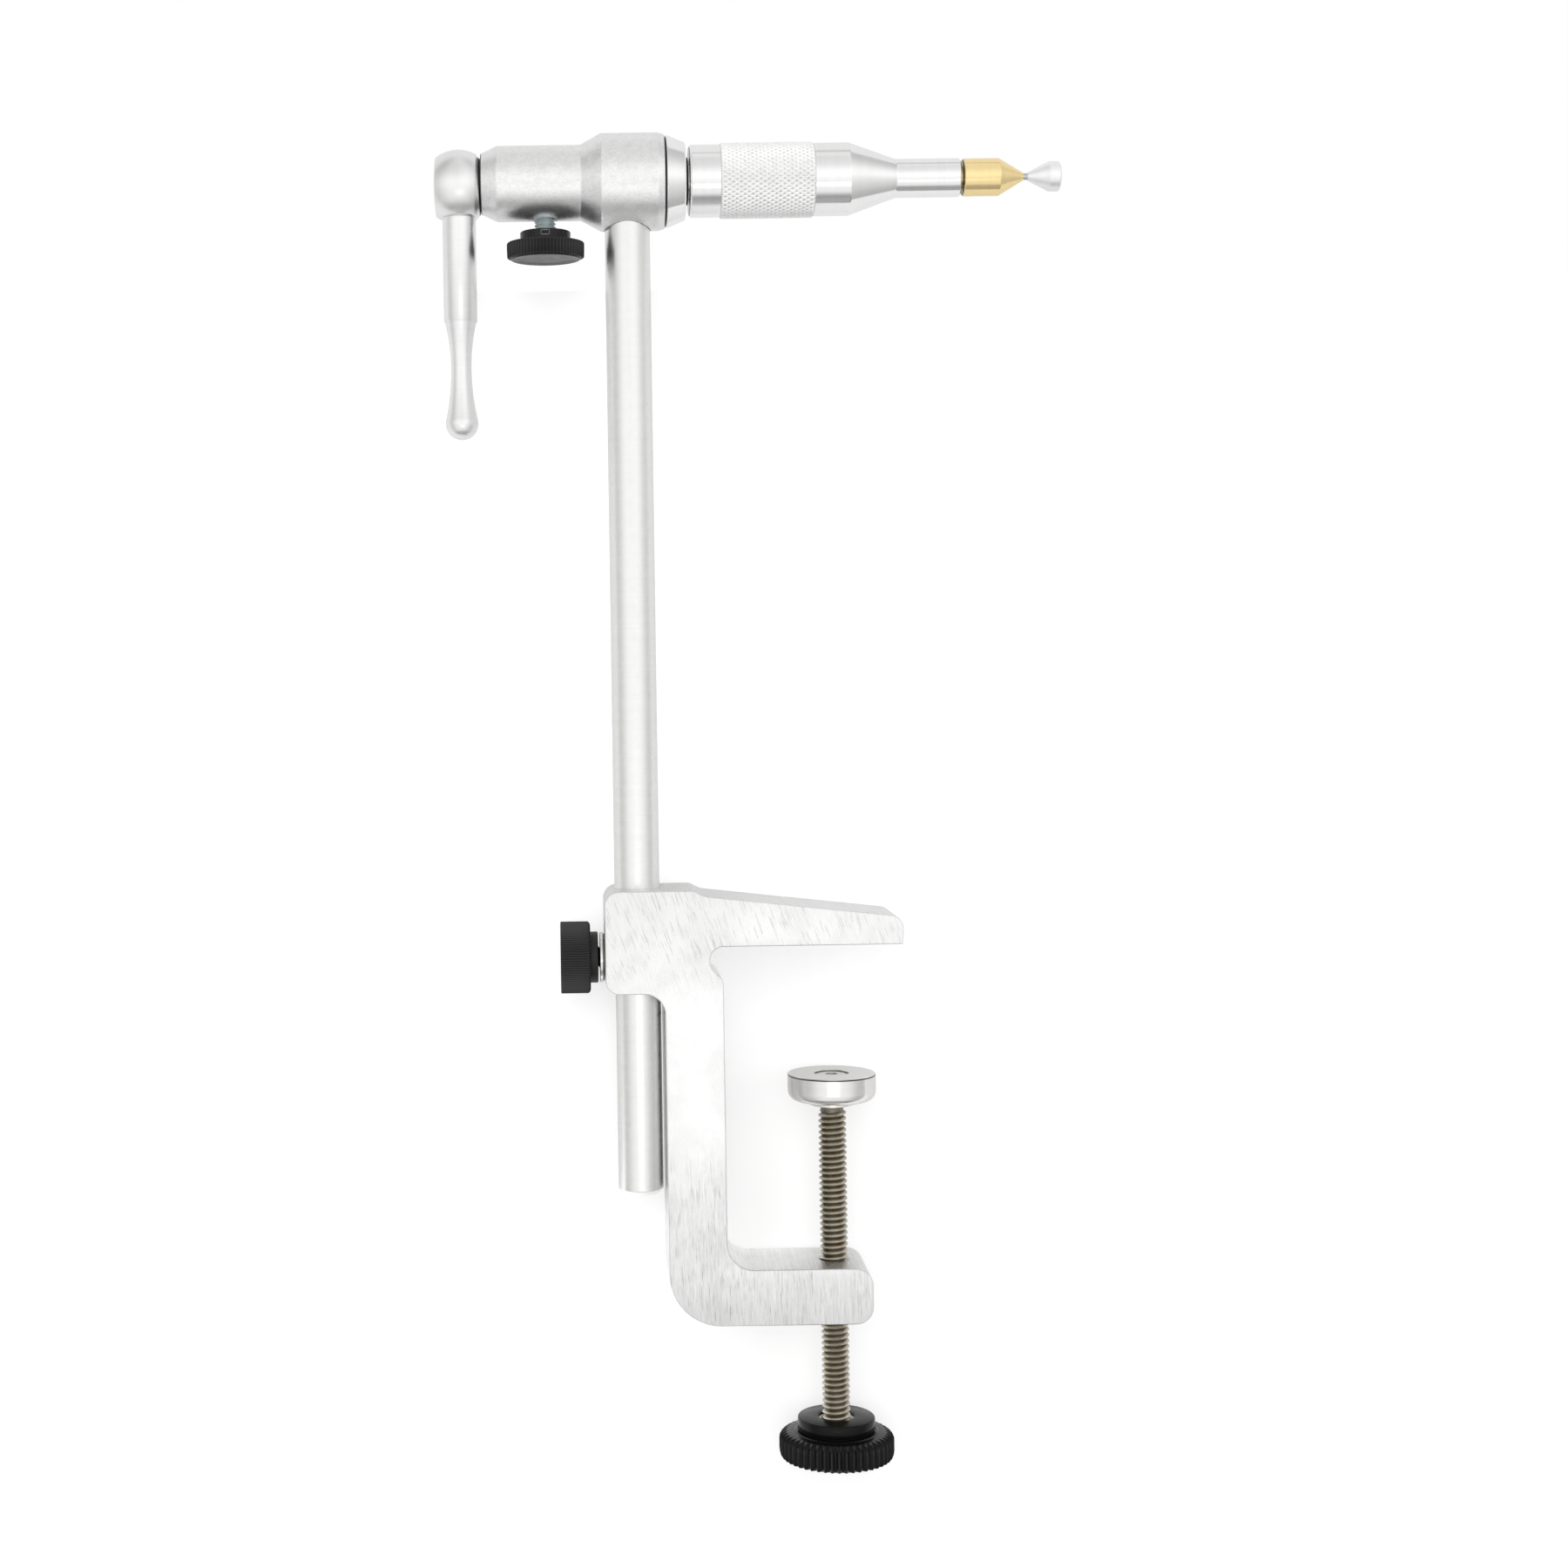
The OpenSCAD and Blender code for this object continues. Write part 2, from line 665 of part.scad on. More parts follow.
module crank_handle() color([0.86, 0.86, 0.85]) translate([hub_x, 0, 0]) rotate_extrude() {
    intersection() {
        translate([0, ball_z]) circle(r = ball_r);
        translate([0, handle_bottom]) square([ball_r, ball_d]);
    }
    difference() {
        translate([0, ball_meet_z]) square([ball_meet_r, waist_z - ball_meet_z]);
        translate([waist_r + hollow_lower_r, waist_z]) circle(r = hollow_lower_r, $fn = 720);
    }
    difference() {
        translate([0, waist_z]) square([waist_top_r, handle_step_z - waist_z]);
        translate([waist_r + hollow_upper_r, waist_z]) circle(r = hollow_upper_r, $fn = 720);
    }
    translate([0, handle_step_z]) square([handle_d / 2, hub_seat_z - handle_step_z]);
    translate([0, handle_step_z]) square([spigot_d / 2, spigot_top - handle_step_z]);
}

module front_collar() color([0.88, 0.88, 0.89]) on_head_axis() difference() {
    turned([
        [collar_x0, collar_d0 - 2 * deburr],
        [collar_x0 + deburr, collar_d0],
        [collar_x1 - deburr, collar_d1],
        [collar_x1, collar_d1 - deburr]
    ]);
    bored(collar_x0 - cut, collar_x1 + cut, shaft_d);
}

module rubber_ring() color([0.06, 0.06, 0.06]) {
    ring_w = holder_x0 - collar_x1;
    on_head_axis() translate([0, 0, collar_x1 + ring_w / 2]) rotate_extrude() {
        translate([shaft_d / 2, -ring_w / 2])
            square([(ring_d - shaft_d - ring_w) / 2, ring_w]);
        translate([(ring_d - ring_w) / 2, 0]) circle(d = ring_w);
    }
}

module mandrel_holder() color([0.80, 0.80, 0.80]) on_head_axis() difference() {
    turned([
        [holder_x0, holder_rear_d - 0.9],
        [holder_x0 + 0.45, holder_rear_d],
        [knurl_x0, holder_rear_d],
        [knurl_x0, knurl_d - 2 * deburr],
        [knurl_x0 + deburr, knurl_d],
        [knurl_x1 - deburr, knurl_d],
        [knurl_x1, knurl_d - 2 * deburr],
        [knurl_x1, holder_front_d],
        [cone_x0, holder_front_d],
        [cone_x1, snout_d],
        [holder_x1 - deburr, snout_d],
        [holder_x1, snout_d - 2 * deburr]
    ]);
    bored(holder_x0 - cut, shaft_x1, shaft_d);
    bored(holder_x0, holder_x1, holder_bore_d);
    bored(collet_x0 - running, holder_x1 + cut, chamber_d);
}

// ---- Collet, nose and mandrel ----

module collet() color([0.80, 0.64, 0.30]) on_head_axis() difference() {
    turned([
        [collet_x0, collet_d - 2 * deburr],
        [collet_x0 + deburr, collet_d],
        [slit_x, collet_d],
        [slit_x, collet_slit_d],
        [collet_taper_x, collet_slit_d],
        [collet_x1, collet_front_d]
    ]);
    bored(collet_x0 - cut, collet_bore_x, collet_bore_d);
    bored(collet_x0, collet_x1 + cut, grip_d);
    for (a = [0, 90])
        rotate(a)
            translate([0, 0, (slit_x + collet_x1 + cut) / 2])
                cube([2 * collet_d, slit_w, collet_x1 + cut - slit_x], center = true);
}

module nose_cap() color([0.85, 0.68, 0.33]) on_head_axis() difference() {
    turned([
        [mouth_x0 + 0.1, nose_thread_d],
        [nose_x0 - relief_l, nose_thread_d],
        [nose_x0 - relief_l, relief_d],
        [nose_x0, relief_d],
        [nose_x0, nose_d - 2 * deburr],
        [nose_x0 + deburr, nose_d],
        [nose_cone_x, nose_d],
        [nose_x1, nose_tip_d]
    ]);
    turned([[mouth_x0, collet_slit_d], [mouth_x1, grip_d]]);
    bored(mouth_x1 - cut, nose_x1 + cut, grip_d);
}

module mandrel_pin() color([0.60, 0.60, 0.62]) on_head_axis()
    turned([
        [mandrel_x0, mandrel_d / 2],
        [mandrel_x0 + mandrel_d / 4, mandrel_d],
        [pin_x1, mandrel_d]
    ]);

module mandrel_stop() color([0.88, 0.88, 0.88]) on_head_axis() difference() {
    turned([
        [stop_x0, mandrel_d + 0.2],
        [stop_rim_x, stop_d],
        [stop_x1 - deburr, stop_d],
        [stop_x1, stop_d - 3 * deburr],
        [stop_x1 + 0.15, mandrel_d]
    ]);
    bored(stop_x0 - cut, pin_x1, mandrel_d);
}

clamp_frame();
stem();
lock_washer();
lock_stud();
lock_knob();
head_housing();
rear_bushing();
front_bushing();
bearing_set_screw();
drag_pad();
drag_stud();
drag_knob();
rotor_shaft();
thrust_washers();
crank_hub();
crank_handle();
front_collar();
rubber_ring();
mandrel_holder();
collet();
nose_cap();
mandrel_pin();
mandrel_stop();
pressure_pad();
pad_screw();
clamp_screw();
clamp_knob();
knob_insert();
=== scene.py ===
"""Looks of the rotary fly tying vise for tube flies.

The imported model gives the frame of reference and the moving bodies. Every piece that shows is made
here in mesh code, in the same place as the solid that it stands for, and the pieces that are hidden
inside keep their solids and get a finish. All sizes in the classes are in millimetres. The clamp
screw's axis is x = 0 and the head's axis is z = 169; +X runs to the nose, +Z is up and -Y faces the
person tying.
"""

from __future__ import annotations

import logging
import math
from collections.abc import Mapping, Sequence
from dataclasses import dataclass, field
from enum import Enum

import bmesh
import bpy
import numpy as np
from mathutils import Matrix, Vector

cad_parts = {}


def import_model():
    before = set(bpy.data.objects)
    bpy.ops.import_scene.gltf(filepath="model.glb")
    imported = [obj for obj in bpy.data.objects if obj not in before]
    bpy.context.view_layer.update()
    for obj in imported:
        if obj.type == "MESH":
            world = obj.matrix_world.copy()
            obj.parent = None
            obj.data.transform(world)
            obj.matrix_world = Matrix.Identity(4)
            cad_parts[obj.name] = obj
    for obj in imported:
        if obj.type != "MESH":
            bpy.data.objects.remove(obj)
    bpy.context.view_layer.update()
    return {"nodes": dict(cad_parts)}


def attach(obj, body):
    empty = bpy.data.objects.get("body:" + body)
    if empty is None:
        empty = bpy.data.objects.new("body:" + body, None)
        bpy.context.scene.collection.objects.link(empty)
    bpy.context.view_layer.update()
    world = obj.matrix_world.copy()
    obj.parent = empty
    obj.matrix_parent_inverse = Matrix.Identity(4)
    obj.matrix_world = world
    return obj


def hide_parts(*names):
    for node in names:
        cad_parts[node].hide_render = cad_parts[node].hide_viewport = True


log = logging.getLogger("vise")

MM = 0.001
HEAD_Z = 169.0
STEM_X = -42.7
LOCK_Z = -3.0
DRAG_X = -60.9
HUB_X = -80.0
# Studs of the two thumbscrews, number 10-32: their radius, their holes' radius and their pitch
STUD_R = 2.415
STUD_HOLE_R = 2.465
FINE_PITCH = 0.79375
# Radius that stands for the axis in a closed section
NEAR_AXIS = 1e-3
# Radius of the rotor's shaft, and of the hub's, collar's, ring's and holder's bores
SHAFT_R = 3.75
# Usual number of segments round a turned piece, and angles in degrees from which an edge is sharp
ROUND = 112
SHARP = 38.0
SHARP_ON_TEETH = 50.0

Corner = tuple[float, float, float]
Colour = tuple[float, float, float]
Span = tuple[float, float]


# ------------------------------------------------------------------------------
# Node trees
# ------------------------------------------------------------------------------


@dataclass(frozen=True)
class Wire:
    """One output socket of a node tree, with arithmetic that adds Math nodes."""

    graph: Graph
    socket: bpy.types.NodeSocket

    def _math(self, operation: str, *values: Wire | float) -> Wire:
        """Adds one Math node to the tree."""
        return self.graph.math(operation, *values)

    def __add__(self, other: Wire | float) -> Wire:
        """Sum."""
        return self._math("ADD", self, other)

    __radd__ = __add__

    def __sub__(self, other: Wire | float) -> Wire:
        """Difference."""
        return self._math("SUBTRACT", self, other)

    def __rsub__(self, other: float) -> Wire:
        """Difference, with this value taken away."""
        return self._math("SUBTRACT", other, self)

    def __mul__(self, other: Wire | float) -> Wire:
        """Product."""
        return self._math("MULTIPLY", self, other)

    __rmul__ = __mul__

    def __truediv__(self, other: Wire | float) -> Wire:
        """Quotient."""
        return self._math("DIVIDE", self, other)

    def __mod__(self, other: Wire | float) -> Wire:
        """Remainder, never negative for a positive divisor."""
        return self._math("FLOORED_MODULO", self, other)

    def __pow__(self, other: float) -> Wire:
        """Power."""
        return self._math("POWER", self, other)

    def __abs__(self) -> Wire:
        """Size without its sign."""
        return self._math("ABSOLUTE", self)

    def low(self, other: Wire | float) -> Wire:
        """The smaller of two values."""
        return self._math("MINIMUM", self, other)

    def high(self, other: Wire | float) -> Wire:
        """The larger of two values."""
        return self._math("MAXIMUM", self, other)

    def between(self, bottom: float, top: float) -> Wire:
        """Kept between two values."""
        return self.high(bottom).low(top)

    def swing(self, share: Wire | float) -> Wire:
        """How far a value about 0.5 is from it, times a share."""
        return (self - 0.5) * share

    def step(self, start: float, end: float) -> Wire:
        """Rises smoothly from 0 at start to 1 at end.

        Args:
            start: Value at which the result leaves 0.
            end: Value at which the result reaches 1.

        Returns:
            The smooth step.
        """
        made = self.graph.node(
            "ShaderNodeMapRange",
            {"interpolation_type": "SMOOTHSTEP"},
            {"Value": self, "From Min": start, "From Max": end},
        )
        return self.graph.out(made, "Result")


class Graph:
    """A node tree that is being built, of a material, the world or Geometry Nodes."""

    def __init__(self, tree: bpy.types.NodeTree) -> None:
        """Starts on an empty tree."""
        self.tree = tree

    def node(
        self,
        kind: str,
        settings: Mapping[str, object] | None = None,
        sockets: Mapping[str | int, object] | None = None,
    ) -> bpy.types.Node:
        """Adds one node.

        Args:
            kind: Blender's name for the node's type.
            settings: Properties of the node; "stops" gives a colour ramp its (place, grey) stops.
            sockets: Values or wires for the node's inputs, by name or number.

        Returns:
            The new node.
        """
        made = self.tree.nodes.new(kind)
        for key, value in (settings or {}).items():
            if key == "stops":
                self._stops(made.color_ramp.elements, value)
            else:
                setattr(made, key, value)
        for key, value in (sockets or {}).items():
            if isinstance(value, Wire):
                self.tree.links.new(value.socket, made.inputs[key])
            else:
                made.inputs[key].default_value = value
        return made

    @staticmethod
    def _stops(elements: bpy.types.ColorRampElements, stops: Sequence[Span]) -> None:
        """Gives a colour ramp its stops."""
        while len(elements) < len(stops):
            elements.new(1.0)
        for element, (place, grey) in zip(elements, stops):
            element.position = place
            element.color = (grey, grey, grey, 1.0)

    def out(self, made: bpy.types.Node, name: str | int) -> Wire:
        """One output of a node as a wire."""
        return Wire(self, made.outputs[name])

    def math(self, operation: str, *values: Wire | float) -> Wire:
        """Adds a Math node for an operation on one to three values."""
        made = self.node("ShaderNodeMath", {"operation": operation}, dict(enumerate(values)))
        return self.out(made, "Value")

    def vector(self, x: Wire | float, y: Wire | float, z: Wire | float = 0.0) -> Wire:
        """A vector from three numbers."""
        return self.out(self.node("ShaderNodeCombineXYZ", {}, {"X": x, "Y": y, "Z": z}), "Vector")

    def parts(self, vector: Wire) -> tuple[Wire, Wire, Wire]:
        """The three numbers of a vector."""
        made = self.node("ShaderNodeSeparateXYZ", {}, {0: vector})
        return self.out(made, "X"), self.out(made, "Y"), self.out(made, "Z")

    def noise(
        self, vector: Wire, scale: float = 1.0, detail: float = 2.0, rough: float = 0.6
    ) -> Wire:
        """Smooth noise about 0.5.

        Args:
            vector: Where the noise is read.
            scale: Cells of the noise to one unit.
            detail: Number of finer octaves.
            rough: Strength of the finer octaves.

        Returns:
            A value from 0 to 1.
        """
        made = self.node(
            "ShaderNodeTexNoise",
            {"noise_dimensions": "3D"},
            {"Vector": vector, "Scale": scale, "Detail": detail, "Roughness": rough},
        )
        return self.out(made, 0)

    def colour_mix(self, factor: Wire | float, first: Wire | Colour, second: Wire | Colour) -> Wire:
        """Blends two colours; a factor of 0 gives the first."""
        a = first if isinstance(first, Wire) else (*first, 1.0)
        b = second if isinstance(second, Wire) else (*second, 1.0)
        made = self.node("ShaderNodeMix", {"data_type": "RGBA"}, {0: factor, 6: a, 7: b})
        return self.out(made, 2)

    def mix_shaders(self, factor: Wire, first: Wire, second: Wire) -> Wire:
        """Blends two shaders; a factor of 0 gives the first."""
        made = self.node("ShaderNodeMixShader", {}, {0: factor, 1: first, 2: second})
        return self.out(made, "Shader")

    def background(self, colour: Wire | Colour, strength: float) -> Wire:
        """Light from the world."""
        colour = colour if isinstance(colour, Wire) else (*colour, 1.0)
        made = self.node("ShaderNodeBackground", {}, {"Color": colour, "Strength": strength})
        return self.out(made, "Background")

    def scaled(self, colour: Wire | Colour, factor: Wire | float) -> Wire:
        """A colour made lighter or darker."""
        made = self.node("ShaderNodeVectorMath", {"operation": "SCALE"}, {0: colour, "Scale": factor})
        return self.out(made, "Vector")


def emptied(owner: bpy.types.Material | bpy.types.World) -> Graph:
    """The node tree of a new material or world, with nothing in it."""
    owner.use_nodes = True
    owner.node_tree.nodes.clear()
    return Graph(owner.node_tree)


# ------------------------------------------------------------------------------
# Places and meshes
# ------------------------------------------------------------------------------


class Axis(Enum):
    """Direction in which a turned piece lies."""

    ALONG_X = "x"
    ALONG_Z = "z"


@dataclass(frozen=True)
class Line:
    """Centre line of a turned piece; offset is its height for ALONG_X and its x for ALONG_Z."""

    axis: Axis
    offset: float

    def matrix(self) -> Matrix:
        """Takes a mesh that was made round +Z at the origin, in metres, to this line."""
        if self.axis is Axis.ALONG_X:
            return Matrix.Translation((0, 0, self.offset * MM)) @ Matrix.Rotation(math.pi / 2, 4, "Y")
        return Matrix.Translation((self.offset * MM, 0, 0))


HEAD = Line(Axis.ALONG_X, HEAD_Z)
LOCK = Line(Axis.ALONG_X, LOCK_Z)
STEM = Line(Axis.ALONG_Z, STEM_X)
DRAG = Line(Axis.ALONG_Z, DRAG_X)
HANDLE = Line(Axis.ALONG_Z, HUB_X)
SCREW = Line(Axis.ALONG_Z, 0.0)


def rounded(points: Sequence[Corner], closed: bool, step: float = 18.0) -> list[Vector]:
    """Rounds the corners of a line, with a guard point beside each rounding so that flats stay flat.

    Args:
        points: Corners as (a, b, radius); a radius of 0 keeps the corner.
        closed: Whether the last corner joins the first.
        step: Degrees between the points of a rounding.

    Returns:
        The points of the rounded line.
    """
    line: list[Vector] = []
    count = len(points)
    for i, (a, b, radius) in enumerate(points):
        at = Vector((a, b))
        if radius <= 0 or (not closed and i in (0, count - 1)):
            line.append(at)
            continue
        u = (Vector(points[i - 1][:2]) - at).normalized()
        v = (Vector(points[(i + 1) % count][:2]) - at).normalized()
        half = math.acos(max(-1.0, min(1.0, u.dot(v)))) / 2
        reach = radius / math.tan(half)
        middle = at + (u + v).normalized() * (radius / math.sin(half))
        first, last = at + u * reach - middle, at + v * reach - middle
        start = math.atan2(first.y, first.x)
        turn = (math.atan2(last.y, last.x) - start + 3 * math.pi) % (2 * math.pi) - math.pi
        steps = max(2, math.ceil(abs(math.degrees(turn)) / step))
        guard = min(0.08, 0.2 * radius)
        line.append(at + u * (reach + guard))
        for k in range(steps + 1):
            angle = start + turn * k / steps
            line.append(middle + radius * Vector((math.cos(angle), math.sin(angle))))
        line.append(at + v * (reach + guard))
    return line


def arc(centre: Span, radius: float, start: float, end: float, steps: int) -> list[Corner]:
    """Points of an arc as corners that stay as they are.

    Args:
        centre: Middle of the arc.
        radius: Its radius.
        start: Angle of the first point, in degrees.
        end: Angle of the last point, in degrees.
        steps: Number of pieces.

    Returns:
        The corners from start to end.
    """
    angles = [math.radians(start + (end - start) * k / steps) for k in range(steps + 1)]
    x, y = centre
    return [(x + radius * math.cos(t), y + radius * math.sin(t), 0.0) for t in angles]


def settle(mesh: bpy.types.Mesh, sharp: float = SHARP) -> None:
    """Merges doubles, turns the faces outwards and shades the mesh smooth between its sharp edges.

    Args:
        mesh: The mesh to settle.
        sharp: Angle in degrees from which an edge stays sharp.
    """
    work = bmesh.new()
    work.from_mesh(mesh)
    bmesh.ops.remove_doubles(work, verts=work.verts, dist=1e-7)
    bmesh.ops.dissolve_degenerate(work, edges=work.edges, dist=1e-7)
    bmesh.ops.recalc_face_normals(work, faces=work.faces)
    for face in work.faces:
        face.smooth = True
    work.to_mesh(mesh)
    work.free()
    mesh.set_sharp_from_angle(angle=math.radians(sharp))


def shown(name: str, mesh: bpy.types.Mesh) -> bpy.types.Object:
    """Puts a mesh into the scene as an object at the origin."""
    made = bpy.data.objects.new(name, mesh)
    bpy.context.scene.collection.objects.link(made)
    return made


def evaluated(obj: bpy.types.Object) -> None:
    """Makes what an object's modifiers give its plain mesh, and removes the modifiers."""
    graph = bpy.context.evaluated_depsgraph_get()
    mesh = bpy.data.meshes.new_from_object(obj.evaluated_get(graph), depsgraph=graph)
    obj.modifiers.clear()
    obj.data = mesh


def lathe(
    name: str, section: Sequence[Corner], line: Line, segments: int = ROUND, bored: bool = False
) -> bpy.types.Object:
    """Turns a half section round a centre line.

    Args:
        name: Name of the object.
        section: Corners as (place along the line, radius, rounding), from one end to the other;
            for a bored piece a closed loop.
        line: The centre line.
        segments: Number of segments round the line.
        bored: Whether the section is a closed loop that doesn't touch the line.

    Returns:
        The turned object.
    """
    points = rounded(section, bored)
    angles = np.arange(segments) * 2 * math.pi / segments
    verts: list[tuple[float, float, float]] = []
    rings: list[list[int]] = []
    for place, radius in points:
        first = len(verts)
        if radius < 1e-6:
            verts.append((0.0, 0.0, place * MM))
            rings.append([first] * segments)
        else:
            verts += [(radius * MM * math.cos(t), radius * MM * math.sin(t), place * MM) for t in angles]
            rings.append(list(range(first, first + segments)))
    pairs = list(zip(rings, rings[1:] + rings[:1])) if bored else list(zip(rings, rings[1:]))
    faces = []
    for near, far in pairs:
        for k in range(segments):
            n = (k + 1) % segments
            loop = [near[k], near[n], far[n], far[k]]
            faces.append([v for i, v in enumerate(loop) if v != loop[i - 1]])
    mesh = bpy.data.meshes.new(name)
    mesh.from_pydata(verts, [], [f for f in faces if len(f) > 2])
    mesh.transform(line.matrix())
    settle(mesh)
    return shown(name, mesh)


def plug(
    name: str, line: Line, start: float, end: float, radius: float, segments: int = ROUND
) -> bpy.types.Object:
    """A plain cylinder from one place along a line to another, which cuts a hole."""
    section = [(start, 0, 0), (start, radius, 0), (end, radius, 0), (end, 0, 0)]
    return lathe(name, section, line, segments)


def carved(
    target: bpy.types.Object, cutters: Sequence[bpy.types.Object], sharp: float = SHARP
) -> None:
    """Cuts other objects out of a piece and removes them.

    Args:
        target: The piece.
        cutters: Objects that are cut out of it.
        sharp: Angle in degrees from which an edge stays sharp.
    """
    for cutter in cutters:
        cut = target.modifiers.new("cut", "BOOLEAN")
        cut.operation = "DIFFERENCE"
        cut.solver = "EXACT"
        cut.object = cutter
    evaluated(target)
    for cutter in cutters:
        bpy.data.objects.remove(cutter)
    target.data.set_sharp_from_angle(angle=math.radians(sharp))


def joined(name: str, pieces: Sequence[bpy.types.Object]) -> bpy.types.Object:
    """Puts several closed shells into one object.

    Args:
        name: Name of the new object.
        pieces: The objects, which are removed.

    Returns:
        The new object.
    """
    work = bmesh.new()
    for piece in pieces:
        work.from_mesh(piece.data)
    mesh = bpy.data.meshes.new(name)
    work.to_mesh(mesh)
    work.free()
    made = shown(name, mesh)
    for piece in pieces:
        bpy.data.objects.remove(piece)
    mesh.shade_smooth()
    mesh.set_sharp_from_angle(angle=math.radians(SHARP))
    return made


def countersunk(
    name: str, line: Line, start: float, end: float, radius: float, flare: float
) -> bpy.types.Object:
    """A drill with a countersink at both ends.

    Args:
        name: Name of the object.
        line: Axis of the hole.
        start: Face at which the hole starts.
        end: Face at which it ends.
        radius: Radius of the hole.
        flare: Size of the bevel on its edges.

    Returns:
        The cutter.
    """
    past = 1.0
    section = [
        (start - past, 0.0, 0.0),
        (start - past, radius + flare + past, 0.0),
        (start + flare, radius, 0.0),
        (end - flare, radius, 0.0),
        (end + past, radius + flare + past, 0.0),
        (end + past, 0.0, 0.0),
    ]
    return lathe(name, section, line)


# ------------------------------------------------------------------------------
# Geometry Nodes
# ------------------------------------------------------------------------------


class Former:
    """A Geometry Nodes tree with named inputs, which is run on an object and leaves a plain mesh."""

    counts: tuple[str, ...] = ()
    lengths: tuple[str, ...] = ()

    def __init__(self, name: str) -> None:
        """Starts the tree with its geometry sockets, its material input and its own inputs."""
        self.tree = bpy.data.node_groups.new(name, "GeometryNodeTree")
        self.graph = Graph(self.tree)
        face = self.tree.interface
        face.new_socket("Geometry", in_out="OUTPUT", socket_type="NodeSocketGeometry")
        face.new_socket("Geometry", in_out="INPUT", socket_type="NodeSocketGeometry")
        face.new_socket("Material", in_out="INPUT", socket_type="NodeSocketMaterial")
        for label in self.counts:
            face.new_socket(label, in_out="INPUT", socket_type="NodeSocketInt")
        for label in self.lengths:
            face.new_socket(label, in_out="INPUT", socket_type="NodeSocketFloat")
        entry = self.graph.node("NodeGroupInput")
        self.given = {socket.name: Wire(self.graph, socket) for socket in entry.outputs if socket.name}
        shaped = self.shape()
        merged = self.graph.node("GeometryNodeMergeByDistance", {}, {"Geometry": shaped, "Distance": 2e-6})
        real = self.graph.node(
            "GeometryNodeRealizeInstances", {}, {"Geometry": self.graph.out(merged, "Geometry")}
        )
        dressed = self.graph.node(
            "GeometryNodeSetMaterial",
            {},
            {"Geometry": self.graph.out(real, "Geometry"), "Material": self.given["Material"]},
        )
        self.graph.node("NodeGroupOutput", {}, {"Geometry": self.graph.out(dressed, "Geometry")})

    def shape(self) -> Wire:
        """Adds the nodes that make the geometry."""
        raise NotImplementedError

    def angle_and_radius(self, radius: Wire, turn: Wire, height: Wire) -> Wire:
        """A point from its radius, its share of a turn and its height."""
        angle = turn * (2 * math.pi)
        return self.graph.vector(
            radius * self.graph.math("COSINE", angle), radius * self.graph.math("SINE", angle), height
        )

    def moved(self, geometry: Wire, position: Wire) -> Wire:
        """Sets the place of every point."""
        made = self.graph.node("GeometryNodeSetPosition", {}, {"Geometry": geometry, "Position": position})
        return self.graph.out(made, "Geometry")

    def sheet(self, columns: Wire, rows: Wire) -> tuple[Wire, Wire, Wire]:
        """A grid and the number of the column and of the row of each of its points.

        Args:
            columns: Number of columns of faces.
            rows: Number of rows of faces.

        Returns:
            The grid, the column number and the row number.
        """
        graph = self.graph
        grid = graph.node(
            "GeometryNodeMeshGrid",
            {},
            {"Size X": 1.0, "Size Y": 1.0, "Vertices X": columns + 1.0, "Vertices Y": rows + 1.0},
        )
        across, up, _ = graph.parts(graph.out(graph.node("GeometryNodeInputPosition"), "Position"))
        column = graph.math("ROUND", (across + 0.5) * columns)
        row = graph.math("ROUND", (up + 0.5) * rows)
        return graph.out(grid, "Mesh"), column, row

    def run(self, obj: bpy.types.Object, material: bpy.types.Material, values: Mapping[str, float]) -> None:
        """Runs the tree on an object and makes the result its plain mesh.

        Args:
            obj: The object.
            material: Material that the tree sets.
            values: The tree's inputs by name.
        """
        modifier = obj.modifiers.new(self.tree.name, "NODES")
        modifier.node_group = self.tree
        given = {"Material": material, **values}
        for item in self.tree.interface.items_tree:
            if item.item_type == "SOCKET" and item.in_out == "INPUT" and item.name in given:
                modifier[item.identifier] = given[item.name]
        evaluated(obj)


class ThreadFormer(Former):
    """A right-hand screw thread round +Z whose rows of faces follow the helix, closed at both ends."""

    counts = ("Columns", "Rows", "Rows To A Pitch")
    lengths = ("Pitch", "Start", "End", "Crest Radius", "Root Radius", "Run Out")

    def shape(self) -> Wire:
        """Adds the nodes that wind the thread."""
        graph, given = self.graph, self.given
        mesh, column, row = self.sheet(given["Columns"] * 1.0, given["Rows"] * 1.0)
        turn = column / given["Columns"]
        height = given["Start"] + (row / given["Rows To A Pitch"] + turn - 1.0) * given["Pitch"]
        kept = height.high(given["Start"]).low(given["End"])
        phase = (row % given["Rows To A Pitch"]) / given["Rows To A Pitch"]
        flank = ((1.0 - abs(phase * 2.0 - 1.0)) * 1.3 - 0.1).between(0.0, 1.0)
        fade = ((height - given["Start"]) / given["Run Out"]).low((given["End"] - height) / given["Run Out"])
        depth = given["Crest Radius"] - given["Root Radius"]
        radius = given["Root Radius"] + depth * flank * fade.between(0.0, 1.0)
        inner = graph.math("LESS_THAN", row, 0.5) + graph.math("GREATER_THAN", row, given["Rows"] - 0.5)
        return self.moved(mesh, self.angle_and_radius(radius * (1.0 - inner), turn, kept))


